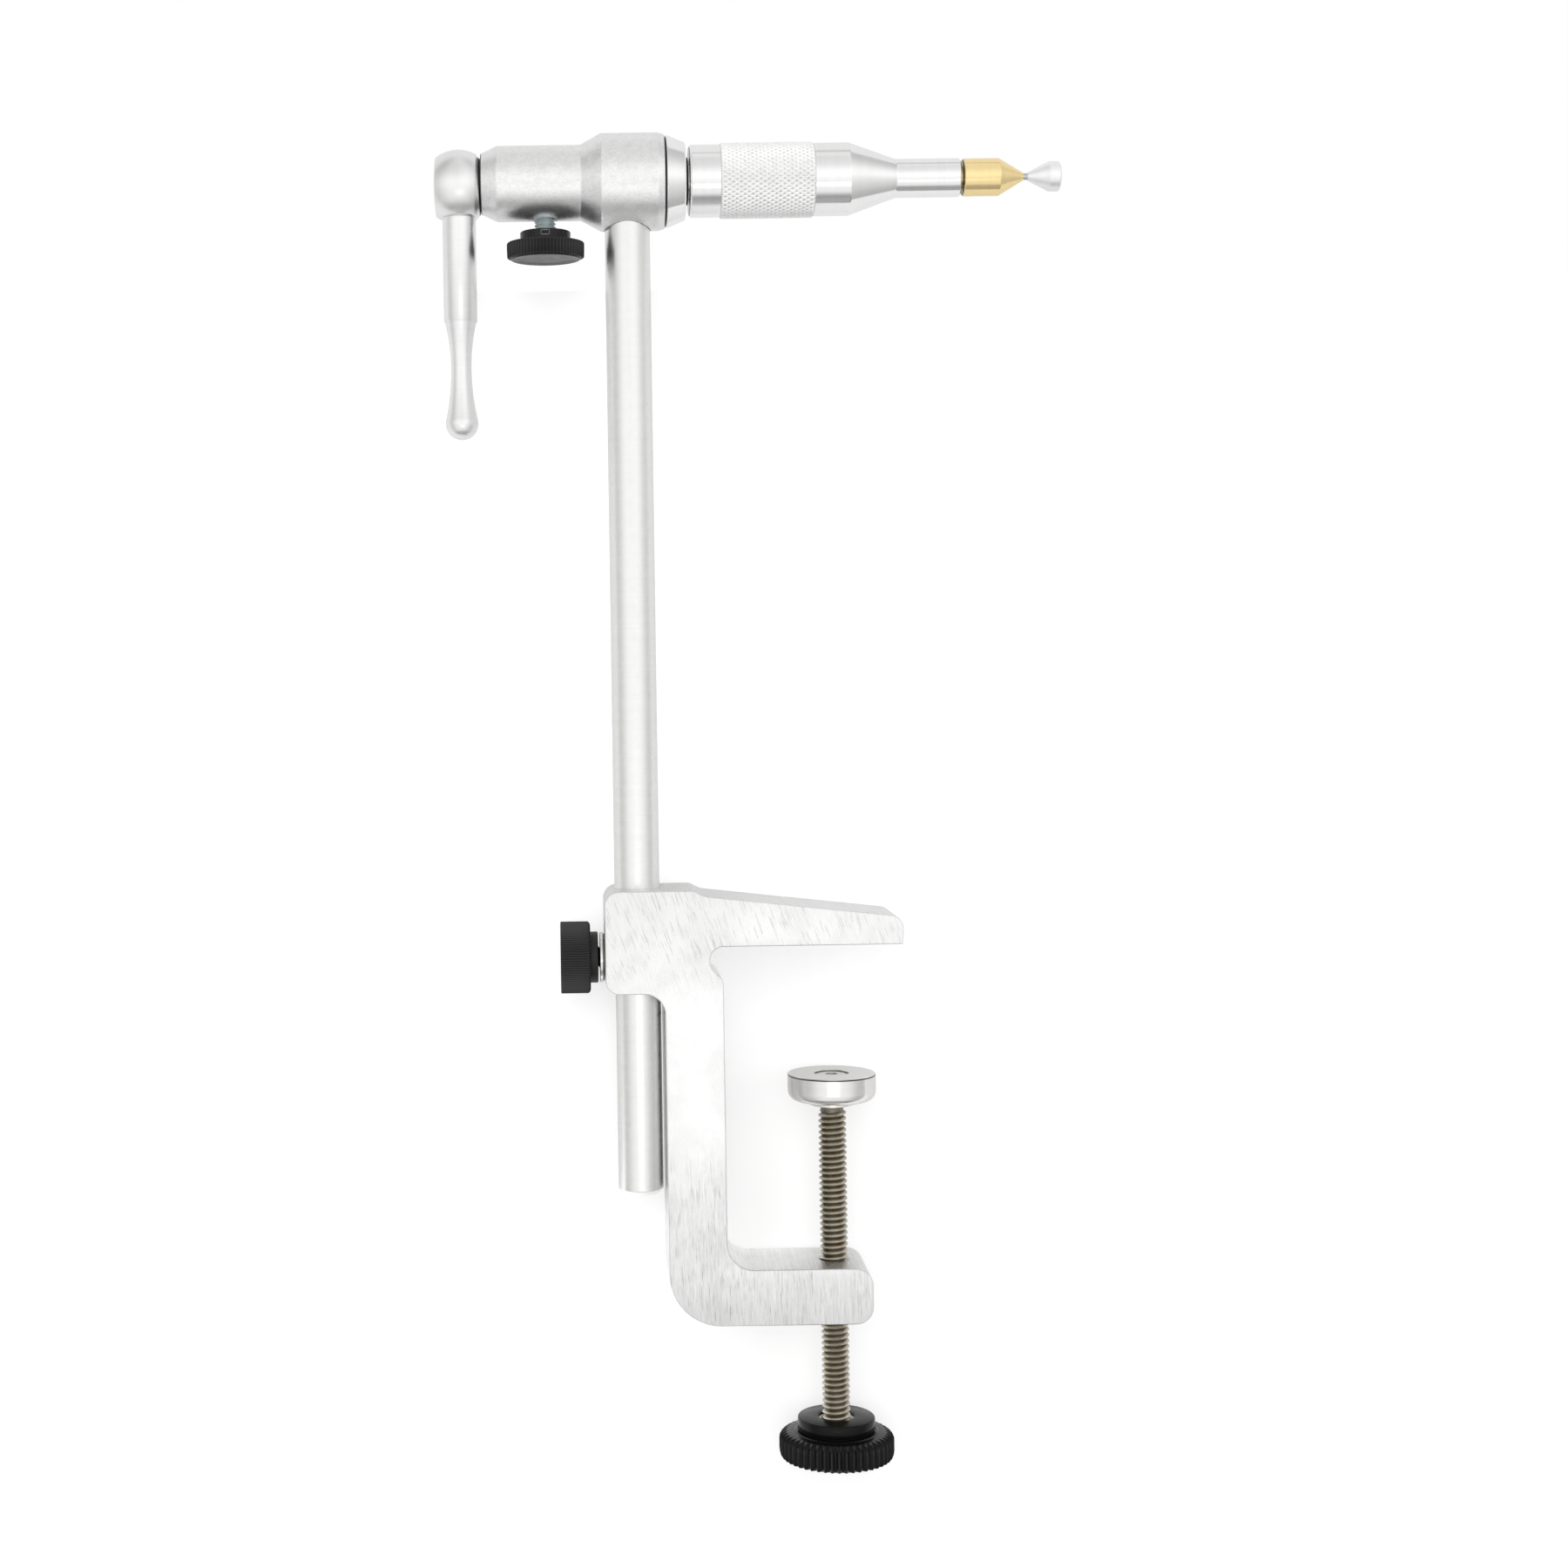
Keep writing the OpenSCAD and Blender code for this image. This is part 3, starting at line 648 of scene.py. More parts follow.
class KnurlFormer(Former):
    """A knurled band round +Z: a raised lattice with diamond pits, whose edges follow the lattice."""

    counts = ("Diamonds Around", "Diamonds Along")
    lengths = ("Start", "End", "Crest Radius", "Inner Radius", "Depth", "Edge Bevel")

    def shape(self) -> Wire:
        """Adds the nodes that roll the knurl."""
        graph, given = self.graph, self.given
        split = 4.0
        rows = given["Diamonds Along"] * (2 * split)
        mesh, column, line = self.sheet(given["Diamonds Around"] * split, rows + 3.0)
        row = line - 2.0
        ridge = self._ridge(column + row, split).high(self._ridge(column + 0.0, split))
        place = given["Start"] + (given["End"] - given["Start"]) * row / rows
        edge = (place - given["Start"]).low(given["End"] - place)
        rolled = (1.0 - edge / given["Edge Bevel"]).between(0.0, 1.0)
        outer = given["Crest Radius"] - given["Depth"] * (1.0 - ridge).high(rolled)
        hidden = graph.math("LESS_THAN", row, -0.5).high(graph.math("GREATER_THAN", row, rows + 0.5))
        radius = outer + (given["Inner Radius"] - outer) * hidden
        # The row before the first lies at the far end, so that the two inner rims meet.
        wrapped = graph.math("LESS_THAN", row, -1.5)
        height = place.high(given["Start"]).low(given["End"])
        height = height + (given["End"] - height) * wrapped
        lean = row * 0.5 * (1.0 - hidden)
        turn = (column + lean) / (given["Diamonds Around"] * split)
        moved = self.moved(mesh, self.angle_and_radius(radius, turn, height))
        cut = graph.node("GeometryNodeTriangulate", {"quad_method": "FIXED_ALTERNATE"}, {"Mesh": moved})
        return graph.out(cut, "Mesh")

    def _ridge(self, number: Wire, split: float) -> Wire:
        """Height of one family of ridges, 1 on the ridge and 0 in the middle of the pits."""
        phase = (number % split) / split
        return (abs(phase * 2.0 - 1.0) * 1.12 - 0.12).between(0.0, 1.0)


class FluteFormer(Former):
    """Fine flutes round +Z, pressed into a rim where its attribute "flute" says so."""

    counts = ("Flutes",)
    lengths = ("Depth",)

    def shape(self) -> Wire:
        """Adds the nodes that press the flutes."""
        graph, given = self.graph, self.given
        x, y, z = graph.parts(graph.out(graph.node("GeometryNodeInputPosition"), "Position"))
        reach = graph.node("GeometryNodeInputNamedAttribute", {"data_type": "FLOAT"}, {"Name": "flute"})
        mask = graph.out(reach, "Attribute")
        turn = graph.math("ARCTAN2", y, x) * given["Flutes"]
        wave = (graph.math("COSINE", turn) * 0.5 + 0.5) ** 0.7
        radius = graph.math("SQRT", x * x + y * y)
        share = 1.0 - given["Depth"] * mask * wave / radius.high(1e-6)
        return self.moved(given["Geometry"], graph.vector(x * share, y * share, z))


# ------------------------------------------------------------------------------
# Finishes
# ------------------------------------------------------------------------------


class Spot:
    """Where a finish is read on a piece, in millimetres."""

    def __init__(self, graph: Graph, line: Line) -> None:
        """Reads the object coordinates and the distance from the piece's centre line."""
        self.graph = graph
        coordinates = graph.node("ShaderNodeTexCoord")
        scaled = graph.node(
            "ShaderNodeVectorMath",
            {"operation": "SCALE"},
            {0: graph.out(coordinates, "Object"), "Scale": 1 / MM},
        )
        self.point = graph.out(scaled, "Vector")
        self.x, self.y, self.z = graph.parts(self.point)
        along_x = line.axis is Axis.ALONG_X
        self.along = self.x if along_x else self.z
        side = self.z - line.offset if along_x else self.x - line.offset
        self.radius = graph.math("SQRT", side * side + self.y * self.y)

    def turned(self, per_mm: float, drift: float = 0.02) -> Wire:
        """Coordinates that change along the piece and with its radius, and hardly round it."""
        graph = self.graph
        return graph.vector(self.along * per_mm + self.y * drift, self.radius * per_mm, self.z * drift)

    def normal(self) -> tuple[Wire, Wire, Wire]:
        """The surface's direction."""
        return self.graph.parts(self.graph.out(self.graph.node("ShaderNodeNewGeometry"), "Normal"))


@dataclass(frozen=True)
class Touch:
    """What a finish does at one spot: relief from 0 to 1, lightness about 1, and roughness."""

    relief: Wire
    light: Wire
    rough: Wire
    stain: Wire | None = None


@dataclass(frozen=True)
class Finish:
    """What every finish has: its colour, its gloss, and how deep its relief is in millimetres."""

    line: Line = HEAD
    colour: Colour = (0.8, 0.8, 0.8)
    stain: Colour = (0.5, 0.45, 0.4)
    roughness: float = 0.3
    metallic: float = 1.0
    depth: float = 0.01
    specular: float = 0.5
    # Places along the line, each with a reach, where painted shade darkens the colour beside a seam.
    shaded_seams: tuple[Span, ...] = ()

    def touch(self, spot: Spot) -> Touch:
        """How the finish varies over the piece."""
        raise NotImplementedError

    def painted_seam_shade(self, spot: Spot) -> Wire:
        """Painted shade beside each seam, where a gap between parts or an edge lies in shade: the share of
        the colour that is left there, each seam a place along the line and a reach.
        """
        left = spot.graph.math("ADD", 1.0, 0.0)
        for place, reach in self.shaded_seams:
            left = left.low(abs(spot.along - place).step(0.5 * reach, reach) * 0.88 + 0.12)
        return left

    def material(self, name: str) -> bpy.types.Material:
        """Makes the material.

        Args:
            name: Name of the material.

        Returns:
            The material, with its node tree.
        """
        made = bpy.data.materials.new(name)
        graph = emptied(made)
        spot = Spot(graph, self.line)
        touch = self.touch(spot)
        # Painted shade beside each seam darkens the colour.
        light = touch.light * self.painted_seam_shade(spot) if self.shaded_seams else touch.light
        colour = graph.scaled(self.colour, light)
        if touch.stain is not None:
            colour = graph.colour_mix(touch.stain, colour, graph.scaled(self.stain, light))
        bump = graph.node(
            "ShaderNodeBump", {}, {"Strength": 1.0, "Distance": self.depth * MM, "Height": touch.relief}
        )
        shader = graph.node(
            "ShaderNodeBsdfPrincipled",
            {},
            {
                "Base Color": colour,
                "Metallic": self.metallic,
                "Roughness": touch.rough.between(0.04, 1.0),
                "Specular IOR Level": self.specular,
                "Normal": graph.out(bump, "Normal"),
            },
        )
        graph.node("ShaderNodeOutputMaterial", {}, {"Surface": graph.out(shader, "BSDF")})
        return made


@dataclass(frozen=True)
class SawnAluminium(Finish):
    """Extruded bar cut off with a band saw: saw lines on the cut faces, die lines round the profile."""

    lean_top: float = 0.34
    lean_bottom: float = 0.03
    # Share of the colour left at the bottom of the lower arm by its painted shade.
    lower_arm_shade_level: float = 0.925

    def touch(self, spot: Spot) -> Touch:
        """Saw lines that lean on the block and stand upright on the lower arm; painted shade darkens the
        lower arm, and painted highlights lighten a band of the upright and the jaw.
        """
        graph = spot.graph
        _, facing, _ = spot.normal()
        cut_face = abs(facing).step(0.4, 0.8)
        raised = spot.z.step(-48.0, -30.0)
        low, low_score = self.sawn(spot, self.lean_bottom)
        high, high_score = self.sawn(spot, self.lean_top)
        saw = low + (high - low) * raised
        score = (low_score + (high_score - low_score) * raised) * cut_face
        die = graph.noise(graph.vector(spot.x * 3.0, spot.y * 0.05, spot.z * 3.0), 1.0, 3.0, 0.6)
        cloud = graph.noise(spot.point, 0.16, 3.0, 0.55)
        grain = graph.noise(spot.point, 3.2, 2.0, 0.7)
        lines = die + (saw - die) * cut_face
        patch = cloud.step(0.42, 0.66)
        # Painted highlight: a band across the upright is painted lighter, with fainter saw lines, where a
        # highlight lies.
        painted_highlight_band = spot.z.step(-56.0, -42.0) * (1.0 - spot.z.step(-12.0, -2.0))
        strength = (0.52 + patch * 0.3 + (1.0 - raised) * 0.5) * (1.0 - painted_highlight_band * 0.6)
        lines = lines.swing(strength) + 0.5
        score = score * (1.0 - painted_highlight_band * 0.75)
        light = 0.985 + lines.swing(0.36) + grain.swing(0.16) - score * 0.12 - patch * 0.03
        # Painted highlight: the band across the upright and the jaw are painted lighter.
        light = light + painted_highlight_band * 0.07 + spot.x.step(-26.0, -12.0) * raised * 0.06
        # Painted shade: the lower arm is painted darker towards its bottom.
        painted_lower_shade = self.lower_arm_shade_level + (1.0 - self.lower_arm_shade_level) * spot.z.step(-82.0, -40.0)
        rough = self.roughness + cloud.swing(0.14) + saw.swing(0.16)
        return Touch(lines - score * 0.6 + grain * 0.25, light.low(1.12) * painted_lower_shade, rough)

    def sawn(self, spot: Spot, lean: float) -> tuple[Wire, Wire]:
        """Saw lines and single deeper scores.

        Args:
            spot: Where the finish is read.
            lean: Angle of the lines from upright, in radians.

        Returns:
            The lines, about 0.5, and the scores, 1 where there is one.
        """
        graph = spot.graph
        across = spot.x * math.cos(lean) + spot.z * math.sin(lean)
        along = spot.x * math.sin(lean) - spot.z * math.cos(lean)
        fine = graph.noise(graph.vector(across * 5.2, along * 0.18, spot.y * 0.3), 1.0, 2.0, 0.65)
        broad = graph.noise(graph.vector(across * 1.6, along * 0.06, spot.y * 0.3), 1.0, 2.0, 0.55)
        score = graph.noise(graph.vector(across * 4.0, along * 0.16, 3.0), 1.0, 1.0, 0.5).step(0.63, 0.70)
        crisp = ((fine * 0.70 + broad * 0.30 - 0.5) * 2.2 + 0.5).between(0.0, 1.0)
        return crisp, score


@dataclass(frozen=True)
class TumbledAluminium(Finish):
    """Matte aluminium with a fine speckle, soft mottling and a few light scratches."""

    def touch(self, spot: Spot) -> Touch:
        """Speckle, mottling, small pits and scratches."""
        graph = spot.graph
        speck = graph.noise(spot.point, 6.5, 2.0, 0.7)
        mottle = graph.noise(spot.point, 0.7, 4.0, 0.62)
        stretch = graph.vector(spot.x * 0.35 + spot.z * 0.1, spot.y * 4.0, spot.z * 4.0 - spot.x * 1.2)
        scratch = graph.noise(stretch, 0.6, 1.0, 0.4).step(0.70, 0.76)
        pit = graph.noise(spot.point, 3.0, 1.0, 0.5).step(0.70, 0.8)
        blotch = graph.noise(spot.point, 2.4, 3.0, 0.7)
        light = 0.97 + speck.swing(0.36) + blotch.swing(0.34) + mottle.swing(0.26)
        light = light + scratch * 0.1 - pit * 0.2
        relief = speck * 0.5 + blotch * 0.5 + mottle * 0.3 - pit * 0.5 - scratch * 0.1
        return Touch(relief, light, self.roughness + mottle.swing(0.14) - scratch * 0.1)


@dataclass(frozen=True)
class TurnedMetal(Finish):
    """Metal straight from the lathe: fine rings round the piece, broader bands and a little handling wear."""

    ring: float = 0.06
    wear: float = 0.5

    def touch(self, spot: Spot) -> Touch:
        """Rings that follow the turning, bands and fingered patches."""
        graph = spot.graph
        rings = graph.noise(spot.turned(7.0))
        bands = graph.noise(spot.turned(0.9), 1.0, 2.0, 0.5)
        handled = graph.noise(spot.point, 0.55, 3.0, 0.6)
        speck = graph.noise(spot.point, 5.0)
        wear_and_sheen = handled.swing(self.wear)
        light = 1.0 + rings.swing(self.ring) * 2 + bands.swing(self.ring)
        light = light + wear_and_sheen * 0.1 + speck.swing(0.05)
        rough = self.roughness + rings.swing(0.1) + wear_and_sheen * 0.12
        return Touch(rings * 0.7 + speck * 0.3 * self.wear, light, rough)


@dataclass(frozen=True)
class GroovedMetal(Finish):
    """Knurled or threaded metal: lighter on the crests and with painted shade in the grooves, and an oily
    tint that lies mostly in the grooves.
    """

    root: float = 7.9
    crest: float = 8.3
    shade: float = 0.45

    def touch(self, spot: Spot) -> Touch:
        """Painted shade by the depth of the groove, and an oily tint that comes and goes along the piece."""
        graph = spot.graph
        # Painted shade: the colour darkens from the crest down into the groove.
        lit_share = spot.radius.step(self.root, self.crest)
        speck = graph.noise(spot.point, 4.5)
        patch = graph.noise(spot.point, 0.5, 3.0, 0.6)
        tint = ((patch - 0.42) * 3.0).between(0.0, 1.0) * (1.0 - lit_share * 0.55)
        light = self.shade + lit_share * (1.0 - self.shade) + speck.swing(0.12)
        rough = self.roughness + (1.0 - lit_share) * 0.14 + speck.swing(0.1)
        return Touch(speck, light, rough, tint)


@dataclass(frozen=True)
class MouldedPlastic(Finish):
    """Black moulded plastic with a fine grain and a few dull patches; its flutes are painted lighter on the
    crests and darker in the valleys, as painted highlight and shade.
    """

    metallic: float = 0.0
    grain: float = 7.0
    valley: float = 7.4
    crest: float = 8.2
    # Strength of the painted highlight on the flutes' crests.
    wear_and_sheen: float = 0.0

    def touch(self, spot: Spot) -> Touch:
        """Grain, flow marks, light scuffs, and a painted highlight on the flutes' crests."""
        graph = spot.graph
        grain = graph.noise(spot.point, self.grain, 3.0, 0.6)
        flow = graph.noise(spot.point, 0.45, 3.0, 0.6)
        scuff = graph.noise(graph.vector(spot.x * 2.2, spot.y * 2.2, spot.z * 0.6)).step(0.66, 0.8)
        outer = spot.radius.step(self.valley, self.crest)
        light = 0.85 + grain.swing(0.5) + flow.swing(0.4) + scuff * 0.9
        # Painted highlight: the crests are painted lighter than the valleys.
        light = light + outer * (0.4 + grain) * self.wear_and_sheen
        rough = self.roughness + flow.swing(0.2) + grain.swing(0.12)
        return Touch(grain * 0.7 + flow * 0.3, light, rough)


@dataclass(frozen=True)
class SoftStuff(Finish):
    """Rubber or nylon: dull, with a faint bloom and a parting line's worth of unevenness."""

    metallic: float = 0.0

    def touch(self, spot: Spot) -> Touch:
        """Bloom and fine unevenness."""
        graph = spot.graph
        bloom = graph.noise(spot.point, 1.3, 3.0, 0.6)
        fine = graph.noise(spot.point, 8.0)
        light = 0.9 + bloom.swing(0.4) + fine.swing(0.2)
        return Touch(fine * 0.5 + bloom * 0.5, light, self.roughness + bloom.swing(0.2))


@dataclass(frozen=True)
class SinteredBronze(Finish):
    """Porous bearing bronze, darker where oil stands in its pores."""

    def touch(self, spot: Spot) -> Touch:
        """Pores and turning rings."""
        graph = spot.graph
        pore = graph.noise(spot.point, 9.0).step(0.55, 0.7)
        rings = graph.noise(spot.turned(4.0))
        light = 1.0 - pore * 0.35 + rings.swing(0.15)
        return Touch(rings * 0.6 - pore, light, self.roughness + pore * 0.2, pore * 0.7)


class Slot(Enum):
    """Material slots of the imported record, of the pieces that are made here."""

    SAWN = "sawn_aluminium"
    TUMBLED = "tumbled_aluminium"
    TURNED = "turned_aluminium"
    GROUND = "ground_steel"
    POLISHED = "polished_steel"
    BRIGHT = "bright_steel"
    DARK = "dark_steel"
    BRASS = "brass"
    PLASTIC = "black_plastic"
    RUBBER = "rubber"


# ------------------------------------------------------------------------------
# Sub-assemblies
# ------------------------------------------------------------------------------


@dataclass
class Shop:
    """Tools that the sub-assemblies share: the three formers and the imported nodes."""

    nodes: Mapping[str, bpy.types.Object]
    threads: ThreadFormer = field(default_factory=lambda: ThreadFormer("thread"))
    knurls: KnurlFormer = field(default_factory=lambda: KnurlFormer("knurl"))
    flutes: FluteFormer = field(default_factory=lambda: FluteFormer("flutes"))

    def hand_over(
        self,
        obj: bpy.types.Object,
        node: str,
        body: str,
        slot: Slot,
        material: bpy.types.Material | None = None,
    ) -> None:
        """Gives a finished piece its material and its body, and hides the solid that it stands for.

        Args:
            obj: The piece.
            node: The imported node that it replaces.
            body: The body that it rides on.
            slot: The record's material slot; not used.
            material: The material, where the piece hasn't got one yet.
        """
        if material is not None:
            obj.data.materials.clear()
            obj.data.materials.append(material)
        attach(obj, body)
        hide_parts(node)
        log.info("%s: %d faces, rides on %s", obj.name, len(obj.data.polygons), body)

    def dress(self, node: str, material: bpy.types.Material) -> None:
        """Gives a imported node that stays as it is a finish."""
        for place in self.nodes[node].material_slots:
            place.material = material
        log.info("%s: kept from the packed model", node)

    def threaded(
        self,
        name: str,
        line: Line,
        span: Span,
        radius: float,
        pitch: float,
        material: bpy.types.Material,
        columns: int = 48,
    ) -> bpy.types.Object:
        """A threaded rod.

        Args:
            name: Name of the object.
            line: Its axis.
            span: Where it starts and ends along the axis.
            radius: Radius over the crests.
            pitch: Rise of the thread in one turn.
            material: Its material.
            columns: Number of columns of faces round it.

        Returns:
            The rod.
        """
        per_pitch = 8
        rows = math.ceil(per_pitch * ((span[1] - span[0]) / pitch + 1)) + 1
        rod = shown(name, bpy.data.meshes.new(name))
        self.threads.run(
            rod,
            material,
            {
                "Columns": columns,
                "Rows": rows,
                "Rows To A Pitch": per_pitch,
                "Pitch": pitch * MM,
                "Start": span[0] * MM,
                "End": span[1] * MM,
                "Crest Radius": radius * MM,
                "Root Radius": (radius - 0.6 * pitch) * MM,
                "Run Out": 0.5 * pitch * MM,
            },
        )
        rod.data.transform(line.matrix())
        settle(rod.data, SHARP_ON_TEETH)
        return rod

    def fluted(
        self,
        name: str,
        section: Sequence[Corner],
        line: Line,
        flutes: int,
        depth: float,
        fluted_radii: Span,
        fluted_span: Span,
        material: bpy.types.Material,
    ) -> bpy.types.Object:
        """A moulded knob with a fluted rim.

        Args:
            name: Name of the object.
            section: Its half section, as a closed loop.
            line: Its axis.
            flutes: Number of flutes.
            depth: Depth of the flutes.
            fluted_radii: Radii between which the flutes fade in.
            fluted_span: Where the fluted rim starts and ends along the axis.
            material: Its material.

        Returns:
            The knob.
        """
        per_flute, slack = 8, 0.01
        knob = lathe(name, section, SCREW, segments=flutes * per_flute, bored=True)
        places = np.empty(len(knob.data.vertices) * 3)
        knob.data.vertices.foreach_get("co", places)
        x, y, z = places.reshape(-1, 3).T / MM
        fade_in, full = fluted_radii
        share = np.clip((np.hypot(x, y) - fade_in) / (full - fade_in), 0, 1)
        inside = (z > fluted_span[0] - slack) & (z < fluted_span[1] + slack)
        reach = knob.data.attributes.new("flute", "FLOAT", "POINT")
        reach.data.foreach_set("value", (share * inside).astype(np.float32))
        self.flutes.run(knob, material, {"Flutes": flutes, "Depth": depth * MM})
        knob.data.transform(line.matrix())
        settle(knob.data, SHARP_ON_TEETH)
        return knob


@dataclass
class ClampFrame:
    """C-shaped frame cut from a bar: the block for the stem, the jaw, the upright arm and the lower arm."""

    width: float = 20.0
    edge: float = 0.28
    block: tuple[float, float, float] = (-50.1, 12.35, -10.2)
    block_r: float = 3.1
    ledge_x: float = -30.6
    jaw_root: Span = (-28.2, 11.1)
    jaw_tip: tuple[float, float, float] = (15.3, 15.1, 6.1)
    notch_x: float = -24.15
    notch_r: float = 3.1
    arm: Span = (-37.1, -24.3)
    lower_arm: tuple[float, float, float] = (7.5, -70.8, -83.0)
    lower_arm_r: float = 3.8
    stem_bore: float = 5.05
    screw_bore: float = 3.17
    finish: SawnAluminium = SawnAluminium(colour=(0.89, 0.89, 0.885), roughness=0.38, depth=0.045)

    def outline(self) -> list[Vector]:
        """The frame's profile in x and z, with its corners rounded."""
        left, top, bottom = self.block
        arm_left, arm_right = self.arm
        reach, inner, outer = self.lower_arm
        tip_top, tip_bottom, tip_z = self.jaw_tip
        # The notch behind the jaw leaves the underside at 45 degrees.
        notch = self.notch_x - self.notch_r * math.tan(math.radians(67.5))
        corners = [
            (left, top, self.block_r),
            (self.ledge_x, top, 2.0),
            (*self.jaw_root, 4.0),
            (tip_top, tip_z, 3.0),
            (tip_bottom, 0.0, 0.4),
            (notch, 0.0, self.notch_r),
            (arm_right, notch - arm_right, 2.6),
            (arm_right, inner, 5.8),
            (reach, inner, self.lower_arm_r),
            (reach, outer, self.lower_arm_r),
            (arm_left, outer, 11.4),
            (arm_left, bottom, 4.56),
            (left, bottom, self.block_r),
        ]
        return rounded(corners, True, 7.5)

    @staticmethod
    def _unit(ways: np.ndarray) -> np.ndarray:
        """Directions of length 1."""
        return ways / np.linalg.norm(ways, axis=1)[:, None]

    def build(self, shop: Shop) -> None:
        """Makes the frame from its outline, with worn edges, and bores it."""
        line = np.array([tuple(p) for p in self.outline()])
        ahead, behind = np.roll(line, -1, axis=0) - line, line - np.roll(line, 1, axis=0)
        along = self._unit(self._unit(ahead) + self._unit(behind))
        # The outline runs clockwise, so this points into the metal.
        inward = np.stack([along[:, 1], -along[:, 0]], axis=1)
        steps = 4
        levels = [
            (self.width / 2 - self.edge * (1 - math.sin(t)), self.edge * (1 - math.cos(t)))
            for t in (math.pi / 2 * k / steps for k in range(steps + 1))
        ]
        levels = [(self.width / 2 - self.edge - 0.1, 0.0), *levels]
        rows = [(-depth, inset) for depth, inset in reversed(levels)] + levels
        count = len(line)
        verts = [
            (*[c * MM for c in (p[0], depth, p[1])],)
            for depth, inset in rows
            for p in line + inward * inset
        ]
        faces = [
            [first + k, first + (k + 1) % count, first + count + (k + 1) % count, first + count + k]
            for first in range(0, (len(rows) - 1) * count, count)
            for k in range(count)
        ]
        faces += [list(range(count)), list(range(len(verts) - count, len(verts)))[::-1]]
        mesh = bpy.data.meshes.new("clamp_frame_bar")
        mesh.from_pydata(verts, [], faces)
        settle(mesh)
        for face in mesh.polygons:
            if len(face.vertices) > 4:
                face.use_smooth = False
        bar = shown("frame_bar", mesh)
        left, top, bottom = self.block
        _, inner, outer = self.lower_arm
        flare = 0.35
        lock_hole = [
            (left - 1, 0, 0),
            (left - 1, STUD_HOLE_R + flare + 1, 0),
            (left + flare, STUD_HOLE_R, 0),
            (STEM_X, STUD_HOLE_R, 0),
            (STEM_X, 0, 0),
        ]
        cutters = [
            countersunk("stem_hole", STEM, bottom - 4.7, top, self.stem_bore, flare),
            countersunk("screw_hole", SCREW, outer, inner, self.screw_bore, 0.4),
            lathe("lock_hole", lock_hole, LOCK),
        ]
        carved(bar, cutters)
        shop.hand_over(bar, "clamp_frame", "clamp", Slot.SAWN, self.finish.material("sawn_bar"))


@dataclass
class Stem:
    """Ground steel bar that carries the head."""

    radius: float = 5.0
    bottom: float = -55.4
    top: float = 163.2
    bevel: float = 1.0

    def build(self, shop: Shop) -> None:
        """Turns the bar."""
        top_bevel = 0.3
        section = [
            (self.bottom, 0, 0),
            (self.bottom, self.radius - self.bevel, 0.15),
            (self.bottom + self.bevel, self.radius, 0.2),
            (self.top - top_bevel, self.radius, 0.0),
            (self.top, self.radius - top_bevel, 0.0),
            (self.top, 0, 0),
        ]
        bar = lathe("stem_bar", section, STEM)
        finish = TurnedMetal(
            STEM, colour=(0.915, 0.915, 0.905), roughness=0.31, depth=0.005, ring=0.04, wear=1.2
        )
        shop.hand_over(bar, "stem", "stem", Slot.GROUND, finish.material("ground_bar"))


